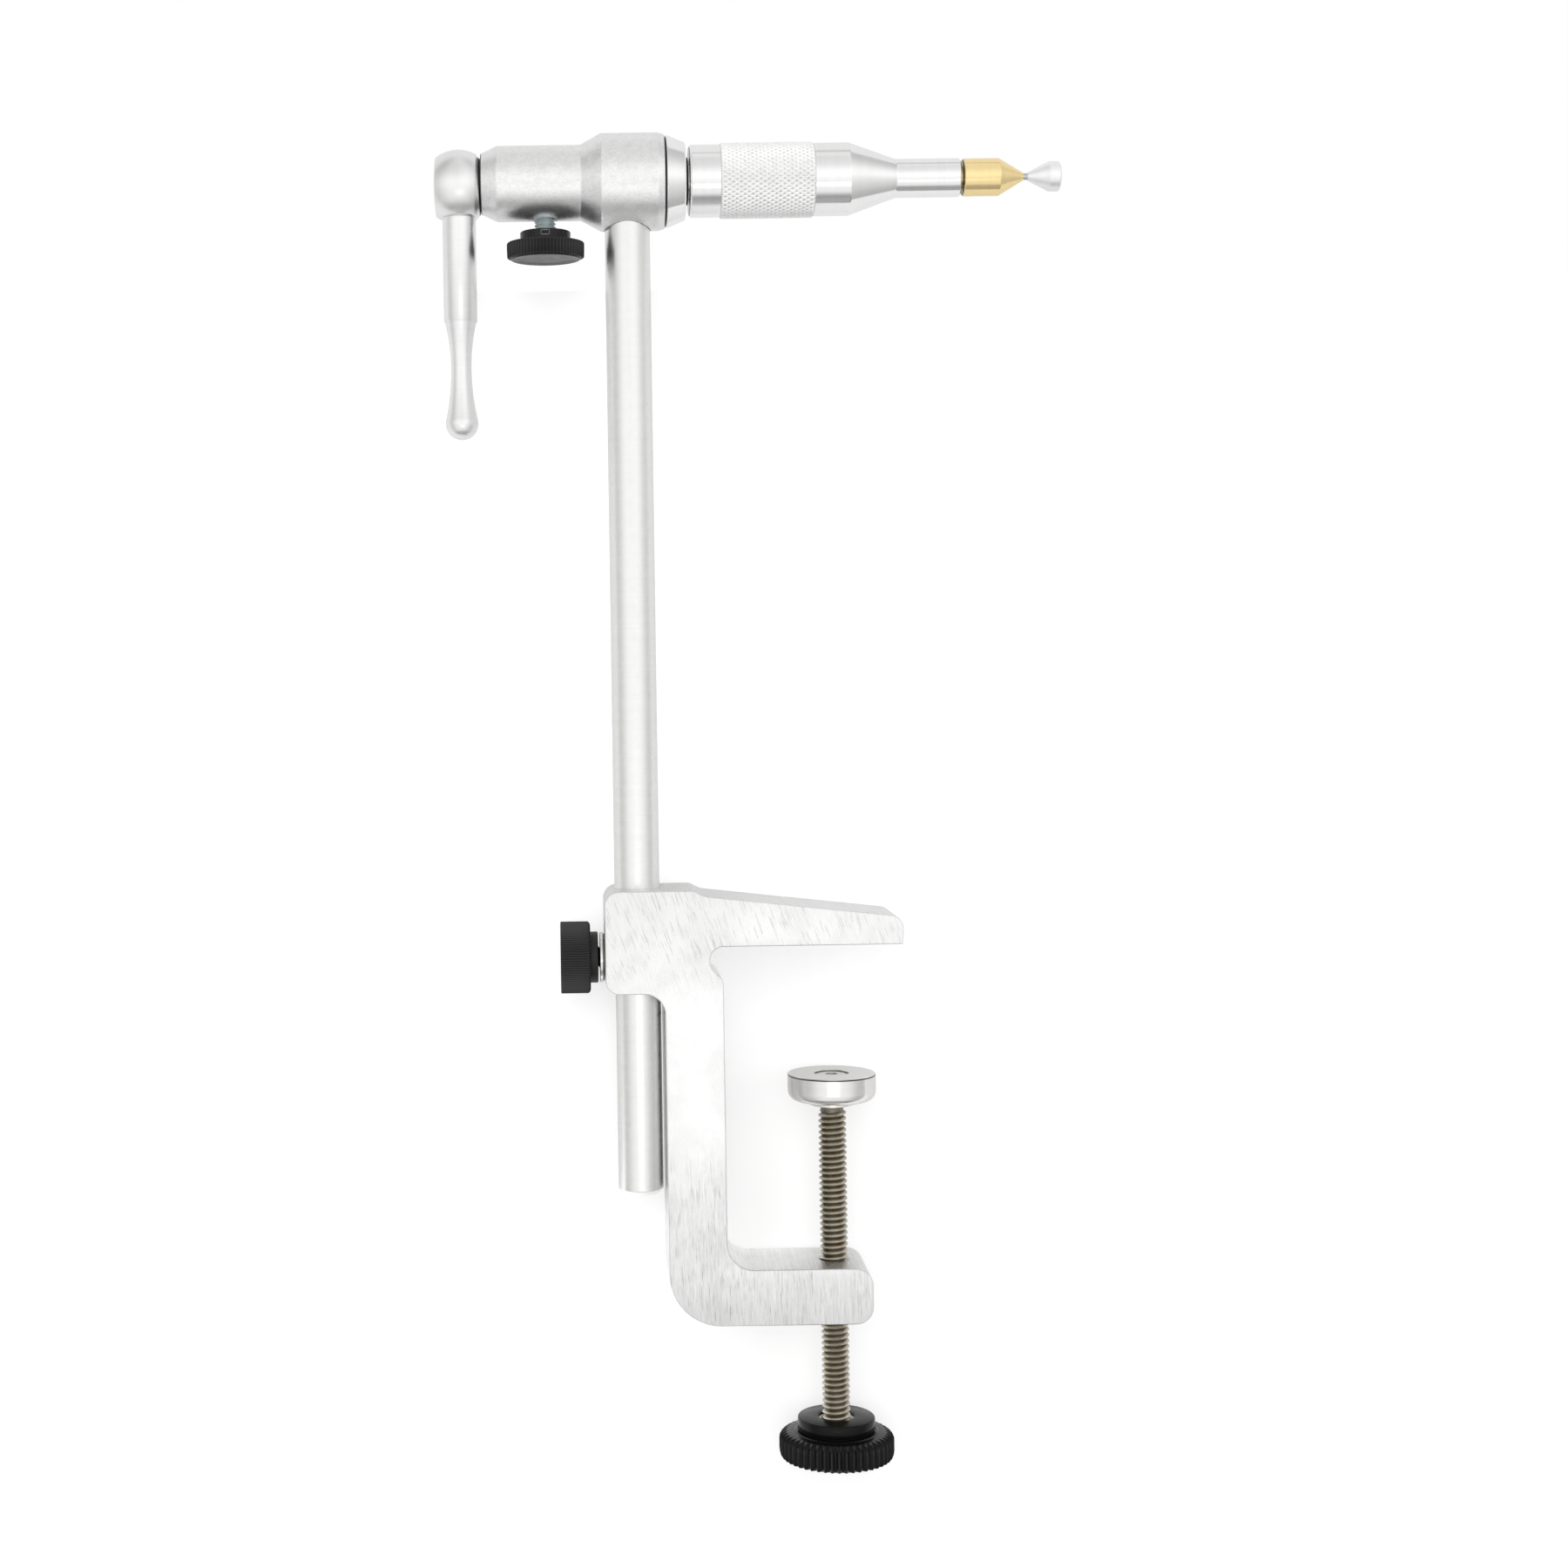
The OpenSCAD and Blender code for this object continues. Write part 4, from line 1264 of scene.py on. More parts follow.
@dataclass
class StemLock:
    """Thumbscrew at the block's left that locks the stem, with its washer."""

    washer_x: float = -51.15
    washer_h: float = 0.7
    washer_r: float = 5.55
    washer_step: float = 0.3
    rim_r: float = 7.95
    rim_h: float = 6.6
    hub_r: float = 5.675
    hub_h: float = 1.7
    hub_gap: float = 0.4
    foot: float = 1.2
    dish_r: float = 4.4
    dish_h: float = 0.35
    flutes: int = 92
    flute_depth: float = 0.3
    # The flutes' crests get a painted highlight.
    plastic: MouldedPlastic = MouldedPlastic(
        LOCK, (0.019, 0.019, 0.020), roughness=0.42, depth=0.014, specular=0.3,
        valley=7.6, crest=7.93, wear_and_sheen=1.6,
    )  # fmt: skip

    def build(self, shop: Shop) -> None:
        """Makes the washer, the stud and the knob."""
        self._washer(shop)
        hub_x = self.washer_x - self.hub_gap
        rim_x = hub_x - self.hub_h
        back = rim_x - self.rim_h
        stud_x = back + self.foot
        # Painted shade in the stud's thread roots.
        grooved = GroovedMetal(
            LOCK, (0.55, 0.56, 0.57), (0.34, 0.33, 0.30), 0.32, depth=0.01, root=1.95, crest=2.4, shade=0.5
        )
        stud = shop.threaded(
            "lock_stud_rod", LOCK, (stud_x, STEM_X - 5.05), STUD_R, FINE_PITCH,
            grooved.material("lock_stud_steel"),
        )
        shop.hand_over(stud, "lock_stud", "lock_screw", Slot.DARK)

        r = self.rim_r
        section = [
            (stud_x, STUD_R, 0),
            (hub_x, STUD_R, 0.15),
            (hub_x, self.hub_r, 0.3),
            (rim_x + 0.02, self.hub_r - 0.05, 0.2),
            (rim_x, r - 0.75, 0.0),
            (rim_x - 0.18, r - 0.3, 0.0),
            (rim_x - 0.55, r, 0.0),
            (rim_x - 2.2, r, 0.0),
            (back + 2.2, r, 0.0),
            (back + 0.14, r, 0.0),
            (back, r - 0.14, 0.0),
            (back, self.dish_r, 0.2),
            (back + self.dish_h, self.dish_r - 0.4, 0.2),
            (back + self.dish_h, NEAR_AXIS, 0),
            (stud_x, NEAR_AXIS, 0),
        ]
        knob = shop.fluted(
            "lock_knob_grip", section, LOCK, self.flutes, self.flute_depth, (r - 0.8, r - 0.25),
            (back, rim_x), self.plastic.material("lock_knob_plastic"),
        )
        shop.hand_over(knob, "lock_knob", "lock_screw", Slot.PLASTIC)

    def _washer(self, shop: Shop) -> None:
        """Makes the washer, whose step reaches into the countersink of the block's hole."""
        near, far = self.washer_x, self.washer_x + self.washer_h
        bore, inner_r = STUD_R + 0.05, self.washer_r - self.washer_step
        section = [
            (near, bore, 0.08),
            (near, self.washer_r, 0.15),
            (far - 0.1, self.washer_r, 0.1),
            (far, inner_r, 0.0),
            (far + self.washer_step, inner_r, 0.0),
            (far + self.washer_step, bore, 0.08),
        ]
        washer = lathe("lock_washer_ring", section, LOCK, bored=True)
        # Painted shade at both faces of the washer, beside the knob's hub and the block.
        bright = TurnedMetal(
            LOCK, colour=(0.88, 0.87, 0.84), roughness=0.18, depth=0.004,
            shaded_seams=((near, 0.14), (near + 0.95, 0.34)),
        )
        shop.hand_over(
            washer, "lock_washer", "lock_washer", Slot.BRIGHT, bright.material("bright_washer")
        )


@dataclass
class Head:
    """Housing of the rotor, with its bushings and the set screw over the front one."""

    rear: float = -75.05
    rear_face_r: float = 6.6
    rear_barrel: Span = (-71.4, -52.9)
    rear_r: float = 8.3
    shoulder: float = -48.4
    front: float = -34.45
    front_r: float = 10.75
    bore_r: float = 5.0
    stem_r: float = 5.05
    stem_top: float = 163.25
    set_r: float = 1.5
    segments: int = 160

    def build(self, shop: Shop) -> None:
        """Turns the housing, bores it for the stem and two screws, and dresses what is inside."""
        section = [
            (self.rear, self.bore_r, 0.1),
            (self.rear, self.rear_face_r, 0.15),
            (self.rear_barrel[0], self.rear_r, 1.0),
            (self.rear_barrel[1], self.rear_r, 0.5),
            (self.shoulder, self.front_r, 0.5),
            (self.front - 1.5, self.front_r, 0.45),
            (self.front, self.front_r - 0.4, 0.25),
            (self.front, self.bore_r, 0.1),
        ]
        housing = lathe("head_housing_cast", section, HEAD, self.segments, bored=True)
        below, above = 150, 185
        saddle_r, ring_r = self.stem_r + 0.22, 2.75
        front_core, rear_core = self.front_r - 0.3, self.rear_r - 0.25
        cutters = [
            self._groove("stem", STEM, (155.0, 164.0), saddle_r, (-60.0, -30.0), front_core),
            self._groove("stud", DRAG, (156.0, 166.0), ring_r, (-68.0, -54.0), rear_core),
            plug("stem_seat", STEM, below, self.stem_top, self.stem_r),
            plug("drag_hole", DRAG, below, HEAD_Z, STUD_HOLE_R),
            plug("set_hole", STEM, HEAD_Z, above, self.set_r),
        ]
        carved(housing, cutters)
        # Painted shade at both ends of the housing, beside the crank's hub and the collar.
        tumbled = TumbledAluminium(
            HEAD, colour=(0.935, 0.935, 0.93), roughness=0.34, metallic=0.93, depth=0.034,
            shaded_seams=((self.rear, 0.3), (self.front, 0.1)),
        )
        shop.hand_over(
            housing, "head_housing", "head", Slot.TUMBLED, tumbled.material("housing_aluminium")
        )
        bronze = SinteredBronze(HEAD, colour=(0.72, 0.52, 0.29), stain=(0.16, 0.1, 0.05), roughness=0.34)
        for name in ("rear_bushing", "front_bushing"):
            shop.dress(name, bronze.material(f"{name}_bronze"))
        self._set_screw(shop)

    def _groove(
        self, name: str, line: Line, span: Span, radius: float, core_span: Span, core_r: float
    ) -> bpy.types.Object:
        """A cutter for the fine groove where a round piece enters the barrel from below.

        Args:
            name: First half of the names of the cutter and of its core.
            line: Axis of the piece.
            span: Where the cutter starts and ends along that axis.
            radius: Radius of the groove.
            core_span: Where the core, which limits the groove's depth, starts and ends along the head.
            core_r: Radius of the core.

        Returns:
            The cutter.
        """
        groove = plug(f"{name}_groove", line, *span, radius)
        carved(groove, [plug(f"{name}_core", HEAD, *core_span, core_r, self.segments)])
        return groove

    def _set_screw(self, shop: Shop) -> None:
        """Makes the set screw, which lies just below the mouth of its hole."""
        bottom, top, bevel = 175.5, 179.6, 0.25
        socket_r, socket_h = 0.85, 1.5
        section = [
            (bottom, 0, 0),
            (bottom, self.set_r, 0),
            (top - bevel, self.set_r, 0),
            (top, self.set_r - bevel, 0),
            (top, socket_r, 0),
            (top - socket_h, socket_r, 0),
            (top - 1.8, 0, 0),
        ]
        screw = lathe("set_screw_plug", section, STEM, segments=48)
        dark = TurnedMetal(STEM, colour=(0.42, 0.43, 0.45), roughness=0.3, depth=0.004)
        shop.hand_over(screw, "bearing_set_screw", "head", Slot.DARK, dark.material("set_screw_steel"))


@dataclass
class DragScrew:
    """Thumbscrew under the rear barrel whose nylon pad brakes the rotor."""

    hub_top: float = 158.2
    hub_r: float = 5.6
    hub_h: float = 2.4
    rim_r: float = 8.6
    rim_h: float = 3.8
    foot: float = 1.2
    tip: float = 163.6
    flutes: int = 68
    flute_depth: float = 0.33
    pocket: Corner = (2.3, 0.5, 1.35)
    # The flutes' crests get a painted highlight.
    plastic: MouldedPlastic = MouldedPlastic(
        DRAG, (0.009, 0.0085, 0.009), roughness=0.28, depth=0.012, specular=0.3,
        valley=8.25, crest=8.58, wear_and_sheen=2.0,
    )  # fmt: skip

    def build(self, shop: Shop) -> None:
        """Makes the stud and the knob, and dresses the pad."""
        rim_top = self.hub_top - self.hub_h
        bottom = rim_top - self.rim_h
        stud_bottom = bottom + self.foot
        # Painted shade in the stud's thread roots.
        grooved = GroovedMetal(
            DRAG, (0.72, 0.79, 0.80), (0.55, 0.61, 0.61), 0.34, metallic=0.7, depth=0.01,
            root=1.95, crest=2.4, shade=0.75,
        )
        stud = shop.threaded(
            "drag_stud_rod", DRAG, (stud_bottom, self.tip), STUD_R, FINE_PITCH,
            grooved.material("drag_stud_steel"),
        )
        shop.hand_over(stud, "drag_stud", "drag_screw", Slot.DARK)
        r = self.rim_r
        section = [
            (stud_bottom, STUD_R, 0),
            (self.hub_top, STUD_R, 0.15),
            (self.hub_top, self.hub_r, 0.3),
            (rim_top + 0.02, self.hub_r - 0.05, 0.15),
            (rim_top, r - 0.3, 0.0),
            (rim_top - 0.1, r - 0.1, 0.0),
            (rim_top - 0.3, r, 0.0),
            (rim_top - 1.4, r, 0.0),
            (bottom + 0.6, r - 0.05, 0.0),
            (bottom + 0.5, r - 0.15, 0.0),
            (bottom + 0.35, r - 0.75, 0.0),
            (bottom, r - 1.0, 0.25),
            (bottom + 0.3, 5.5, 0.5),
            (bottom + 0.35, NEAR_AXIS, 0),
            (stud_bottom, NEAR_AXIS, 0),
        ]
        knob = shop.fluted(
            "drag_knob_grip", section, DRAG, self.flutes, self.flute_depth, (r - 0.9, r - 0.3),
            (bottom, rim_top), self.plastic.material("drag_knob_plastic"),
        )
        carved(knob, [self._pocket(knob)], SHARP_ON_TEETH)
        shop.hand_over(knob, "drag_knob", "drag_screw", Slot.PLASTIC)
        nylon = SoftStuff(DRAG, colour=(0.84, 0.82, 0.76), roughness=0.5, depth=0.01)
        shop.dress("drag_pad", nylon.material("drag_pad_nylon"))

    def _pocket(self, knob: bpy.types.Object) -> bpy.types.Object:
        """Makes the cutter of the small square pocket in the hub, whose sloping edges get a painted
        highlight.

        Args:
            knob: The knob, which gets the material of the painted highlight on the edges in its second slot.

        Returns:
            The cutter.
        """
        # Painted highlight: pale grey on the pocket's sloping lip stands in for the light that its edges
        # catch.
        wear_and_sheen = MouldedPlastic(DRAG, (0.30, 0.31, 0.31), roughness=0.3, depth=0.01)
        wide, deep, high = self.pocket
        slope, past = 0.3, 0.4
        front, throat, back = (-self.hub_r + y for y in (-past, 0.25, deep))
        middle = self.hub_top - 0.22 - high / 2
        flare = slope * past / 0.5
        rims = [
            (front, wide / 2 + flare, high / 2 + flare),
            (throat, wide / 2 - slope, high / 2 - slope),
            (back, wide / 2 - slope, high / 2 - slope),
        ]
        verts = [
            ((DRAG_X + x * half_w) * MM, y * MM, (middle + z * half_h) * MM)
            for y, half_w, half_h in rims
            for x, z in ((-1, -1), (1, -1), (1, 1), (-1, 1))
        ]
        walls = [
            [k + i, k + (i + 1) % 4, k + 4 + (i + 1) % 4, k + 4 + i] for k in (0, 4) for i in range(4)
        ]
        mesh = bpy.data.meshes.new("pocket")
        mesh.from_pydata(verts, [], [*walls, [3, 2, 1, 0], [8, 9, 10, 11]])
        settle(mesh, 20.0)
        plastic = knob.data.materials[0]
        for target in (mesh, knob.data):
            target.materials.clear()
            target.materials.append(plastic)
            target.materials.append(wear_and_sheen.material("drag_knob_painted_highlight") if target is mesh else mesh.materials[1])
        # The sloping lip gets the painted highlight.
        for face in mesh.polygons:
            if front + 0.01 < face.center.y / MM < throat:
                face.material_index = 1
        return shown("pocket", mesh)


@dataclass
class Rotor:
    """What turns with the crank between the housing and the nose: shaft, washers, collar, ring and holder."""

    collar: Span = (-34.28, -29.8)
    collar_r: Span = (10.18, 8.6)
    ring_r: float = 5.25
    ring_w: float = 0.62
    holder: Span = (-28.95, 31.2)
    knurl: Span = (-22.1, -1.35)
    knurl_r: float = 8.3
    knurl_depth: float = 0.34
    diamonds: tuple[int, int] = (47, 12)
    rear_r: float = 7.95
    front_r: float = 8.0
    cone: Span = (6.4, 16.9)
    snout_r: float = 4.25
    thread_hole: Span = (9.45, 3.0)
    mandrel_hole: Span = (-14.0, 2.0)

    def build(self, shop: Shop) -> None:
        """Makes the pieces in front of the housing and dresses the shaft and the washers."""
        self._collar(shop)
        self._ring(shop)
        self._holder(shop)
        ground = TurnedMetal(HEAD, colour=(0.76, 0.76, 0.77), roughness=0.2, depth=0.004)
        shop.dress("rotor_shaft", ground.material("shaft_steel"))
        washer = SoftStuff(HEAD, colour=(0.05, 0.05, 0.05), roughness=0.45, depth=0.006)
        shop.dress("thrust_washers", washer.material("washer_black"))

    def _collar(self, shop: Shop) -> None:
        """Turns the polished collar."""
        start, end = self.collar
        big, small = self.collar_r
        bevel = 0.3
        section = [
            (start, SHAFT_R, 0.1),
            (start, big - bevel, 0.15),
            (start + 0.35, big, 0.15),
            (end - bevel, small, 0.15),
            (end, small - bevel, 0.15),
            (end, SHAFT_R, 0.1),
        ]
        collar = lathe("collar_ring", section, HEAD, segments=128, bored=True)
        # Painted shade at the collar's rear face, beside the housing.
        polished = TurnedMetal(
            HEAD, colour=(0.99, 0.99, 0.985), roughness=0.12, depth=0.003, ring=0.04, wear=0.3,
            shaded_seams=((start, 0.08),),
        )
        shop.hand_over(
            collar, "front_collar", "rotor", Slot.POLISHED, polished.material("collar_steel")
        )

    def _ring(self, shop: Shop) -> None:
        """Turns the rubber ring, which is round on its outside."""
        near, far = self.collar[1], self.collar[1] + self.ring_w
        half = self.ring_w / 2
        root = self.ring_r - half
        section = [
            (near, SHAFT_R, 0),
            (near, root, 0),
            *arc((near + half, root), half, 170, 10, 10),
            (far, root, 0),
            (far, SHAFT_R, 0),
        ]
        rubber = lathe("rubber_seal", section, HEAD, bored=True)
        soft = SoftStuff(HEAD, colour=(0.018, 0.018, 0.019), roughness=0.6, depth=0.02)
        shop.hand_over(rubber, "rubber_ring", "rotor", Slot.RUBBER, soft.material("ring_rubber"))

    def _holder(self, shop: Shop) -> None:
        """Turns the mandrel holder and rolls its knurled band."""
        back, front = self.holder
        start, end = self.knurl
        overlap, bed = 0.02, self.rear_r - 0.4
        thread_end, thread_r = self.thread_hole
        mandrel_end, mandrel_r = self.mandrel_hole
        section = [
            (back, SHAFT_R, 0.1),
            (back, self.rear_r - 0.45, 0.15),
            (back + 0.45, self.rear_r, 0.2),
            (start + overlap, self.rear_r, 0.1),
            (start + overlap, bed, 0),
            (end - overlap, bed, 0),
            (end - overlap, self.front_r, 0.1),
            (self.cone[0], self.front_r, 0.5),
            (self.cone[1], self.snout_r, 0.6),
            (front - 0.3, self.snout_r, 0.12),
            (front, self.snout_r - 0.3, 0.12),
            (front, thread_r, 0.0),
            (thread_end, thread_r, 0.0),
            (thread_end, mandrel_r, 0.0),
            (mandrel_end, mandrel_r, 0.0),
            (mandrel_end, SHAFT_R, 0.0),
        ]
        # Painted shade at both ends of the holder, beside the rubber ring and the nose.
        turned = TurnedMetal(
            HEAD, colour=(0.98, 0.98, 0.975), roughness=0.16, depth=0.004, ring=0.05, wear=0.5,
            shaded_seams=((back, 0.16), (front, 0.16)),
        )
        body = lathe("holder_body", section, HEAD, segments=128, bored=True)
        body.data.materials.append(turned.material("holder_aluminium"))
        depth = self.knurl_depth
        # Painted shade in the knurl's pits; the raised lattice stays light.
        grooved = GroovedMetal(
            HEAD, (1.0, 1.0, 0.995), (0.86, 0.85, 0.84), 0.36, metallic=0.6, depth=0.006,
            root=self.knurl_r - depth, crest=self.knurl_r - depth * 0.3, shade=0.71,
        )
        band = shown("holder_knurl", bpy.data.meshes.new("holder_knurl"))
        shop.knurls.run(
            band,
            grooved.material("knurl_aluminium"),
            {
                "Diamonds Around": self.diamonds[0],
                "Diamonds Along": self.diamonds[1],
                "Start": start * MM,
                "End": end * MM,
                "Crest Radius": self.knurl_r * MM,
                "Inner Radius": (self.rear_r - 0.6) * MM,
                "Depth": depth * MM,
                "Edge Bevel": 0.3 * MM,
            },
        )
        band.data.transform(HEAD.matrix())
        settle(band.data, 25.0)
        shop.hand_over(band, "mandrel_holder", "rotor", Slot.TURNED)
        shop.hand_over(body, "mandrel_holder", "rotor", Slot.TURNED)


@dataclass
class Crank:
    """Handle and the hub that carries it on the rotor's shaft."""

    ball_r: float = 8.2
    hub_z: float = 168.4
    face_x: float = -85.5
    crown_r: float = 47.0
    back_x: float = -75.22
    back_r: float = 6.15
    seat_z: float = 161.7
    spigot_r: float = 2.5
    spigot_top: float = 164.75
    handle_r: float = 3.7
    step_z: float = 138.5
    waist_z: float = 128.3
    waist_r: float = 2.28
    end_r: float = 3.65
    bottom: float = 112.3

    def build(self, shop: Shop) -> None:
        """Turns the ball of the hub, cuts its flat and bores it, and turns the handle."""
        self._hub(shop)
        self._handle(shop)

    def _hub(self, shop: Shop) -> None:
        """Makes the hub."""
        line = Line(Axis.ALONG_X, self.hub_z)
        crown_middle = self.face_x + self.crown_r
        # Where the crowned face meets the ball.
        gap = crown_middle - HUB_X
        meet = (gap**2 + self.crown_r**2 - self.ball_r**2) / (2 * gap)
        meet_r = math.sqrt(self.crown_r**2 - meet**2)
        meet_x = crown_middle - meet
        start = math.degrees(math.atan2(meet_r, meet_x - HUB_X))
        bevel = 0.8
        bevel_r = self.back_r + bevel
        end = math.degrees(math.asin(bevel_r / self.ball_r))
        crown = [
            (crown_middle - math.sqrt(self.crown_r**2 - r**2), r, 0.0)
            for r in np.linspace(0.0, meet_r - 0.35, 9)
        ]
        section = [
            *crown,
            (meet_x, meet_r, 0.3),
            *arc((HUB_X, 0.0), self.ball_r, start - 4, end + 3, 22),
            (self.back_x - bevel, bevel_r, 0.12),
            (self.back_x, self.back_r, 0.15),
            (self.back_x, 0.0, 0),
        ]
        hub = lathe("crank_hub_ball", section, line, segments=128)
        cutters = [
            plug("flat", HANDLE, 140.0, self.seat_z, 14.0, 16),
            plug("bore", HEAD, -83.0, -70.0, SHAFT_R),
            plug("spigot", HANDLE, 150.0, self.spigot_top, self.spigot_r),
        ]
        carved(hub, cutters)
        edge = hub.modifiers.new("edge", "BEVEL")
        edge.width = 0.14 * MM
        edge.segments = 2
        edge.limit_method = "ANGLE"
        edge.angle_limit = math.radians(SHARP)
        edge.harden_normals = False
        evaluated(hub)
        hub.data.set_sharp_from_angle(angle=math.radians(SHARP))
        # Painted shade at the hub's back, beside the housing.
        satin = TurnedMetal(
            line, colour=(0.95, 0.95, 0.945), roughness=0.34, depth=0.006, ring=0.05, wear=0.35,
            shaded_seams=((self.back_x, 0.2),),
        )
        shop.hand_over(hub, "crank_hub", "rotor", Slot.TURNED, satin.material("hub_aluminium"))

    def _handle(self, shop: Shop) -> None:
        """Makes the handle: a ball, a waist of two arcs that meet it and the step, and the spigot."""
        ball_z = self.bottom + self.end_r
        top_r = self.handle_r - 0.2
        below, above = self.waist_z - ball_z, self.step_z - self.waist_z
        upper = (above**2 + (top_r - self.waist_r) ** 2) / (2 * (top_r - self.waist_r))
        lower = (below**2 + self.waist_r**2 - self.end_r**2) / (2 * (self.end_r - self.waist_r))
        meet = math.degrees(math.asin(below / (lower + self.end_r)))
        sweep = math.degrees(math.asin(above / upper))
        section = [
            (self.bottom, 0.0, 0.0),
            *arc((ball_z, 0.0), self.end_r, 180, 90 - meet, 26)[1:],
            *arc((self.waist_z, self.waist_r + lower), lower, 270 - meet, 270, 18)[1:],
            *arc((self.waist_z, self.waist_r + upper), upper, 270, 270 + sweep, 16)[1:-1],
            (self.step_z, top_r, 0.0),
            (self.step_z, self.handle_r - 0.06, 0.0),
            (self.step_z + 0.08, self.handle_r, 0.0),
            (self.seat_z - 0.2, self.handle_r, 0.0),
            (self.seat_z, self.handle_r - 0.18, 0.0),
            (self.seat_z, self.spigot_r, 0.0),
            (self.spigot_top, self.spigot_r, 0.0),
            (self.spigot_top, 0.0, 0.0),
        ]
        handle = lathe("crank_handle_grip", section, HANDLE)
        satin = TurnedMetal(
            HANDLE, colour=(0.94, 0.94, 0.935), roughness=0.31, depth=0.006, ring=0.05, wear=0.8
        )
        shop.hand_over(
            handle, "crank_handle", "rotor", Slot.TURNED, satin.material("handle_aluminium")
        )


@dataclass
class Nose:
    """Brass nose that closes the collet, with the collet behind it."""

    thread: Span = (25.35, 30.0)
    thread_r: float = 2.95
    neck_r: float = 2.4
    shoulder: float = 31.8
    radius: float = 4.15
    cone: float = 39.8
    tip: float = 45.3
    tip_r: float = 0.9
    bore_r: float = 0.77

    def build(self, shop: Shop) -> None:
        """Makes the nose in two shells, the thread and the turned front, and dresses the collet."""
        # Painted shade at the nose's shoulder, beside the holder's front.
        brass = TurnedMetal(
            HEAD, colour=(1.0, 0.785, 0.40), roughness=0.18, metallic=0.8, depth=0.005, ring=0.06, wear=0.7,
            shaded_seams=((self.shoulder, 0.16),),
        )
        metal = brass.material("nose_brass")
        section = [
            (self.thread[1] - 0.2, self.bore_r, 0),
            (self.thread[1] - 0.2, self.neck_r, 0),
            (self.shoulder, self.neck_r, 0.1),
            (self.shoulder, self.radius - 0.3, 0.12),
            (self.shoulder + 0.3, self.radius, 0.12),
            (self.cone, self.radius, 0.35),
            (self.tip - 0.15, self.tip_r + 0.08, 0.08),
            (self.tip, self.tip_r - 0.04, 0.0),
            (self.tip, self.bore_r, 0.0),
        ]
        front = lathe("nose_front", section, HEAD, segments=128, bored=True)
        front.data.materials.append(metal)
        rod = shop.threaded("nose_thread", HEAD, self.thread, self.thread_r, FINE_PITCH, metal)
        before, past = 24.0, 31.0
        mouth = [
            (before, 0, 0),
            (before, 3.9, 0),
            (25.25, 2.78, 0),
            (27.2, self.bore_r, 0),
            (past, self.bore_r, 0),
            (past, 0, 0),
        ]
        carved(rod, [lathe("mouth", mouth, HEAD)])
        nose = joined("nose_brass_cap", [front, rod])
        shop.hand_over(nose, "nose_cap", "nose", Slot.BRASS, metal)
        inner = TurnedMetal(HEAD, colour=(0.80, 0.63, 0.30), roughness=0.24, depth=0.004)
        shop.dress("collet", inner.material("collet_brass"))


@dataclass
class Mandrel:
    """Thin pin that carries the tube, with the conical stop on its end."""

    radius: float = 0.75
    rear: float = -54.0
    stop: float = 46.3
    rim_x: float = 51.05
    end: float = 53.45
    rim_r: float = 3.3

    def build(self, shop: Shop) -> None:
        """Turns the pin and the stop."""
        r = self.radius
        section = [
            (self.rear, 0, 0),
            (self.rear, r / 2, 0),
            (self.rear + r / 2, r, 0.1),
            (self.rim_x, r, 0),
            (self.rim_x, 0, 0),
        ]
        pin = lathe("mandrel_rod", section, HEAD, segments=48)
        steel = TurnedMetal(HEAD, colour=(0.60, 0.60, 0.62), roughness=0.2, depth=0.003, ring=0.05)
        shop.hand_over(pin, "mandrel_pin", "mandrel", Slot.GROUND, steel.material("mandrel_steel"))
        face = self.end + 0.15
        section = [
            (self.stop, r, 0),
            (self.stop, r + 0.1, 0.0),
            (self.rim_x, self.rim_r, 0.2),
            (self.end - 0.3, self.rim_r, 0.15),
            (self.end, self.rim_r - 0.45, 0.3),
            (face, r, 0.0),
            (face, 0.0, 0.0),
            (self.rim_x, 0.0, 0.0),
            (self.rim_x, r, 0.0),
        ]
        satin = TurnedMetal(
            HEAD, colour=(0.94, 0.94, 0.94), roughness=0.38, metallic=0.75, depth=0.006, ring=0.05, wear=0.8
        )
        stop = lathe("mandrel_stop_cone", section, HEAD, bored=True)
        shop.hand_over(stop, "mandrel_stop", "mandrel", Slot.TURNED, satin.material("stop_aluminium"))


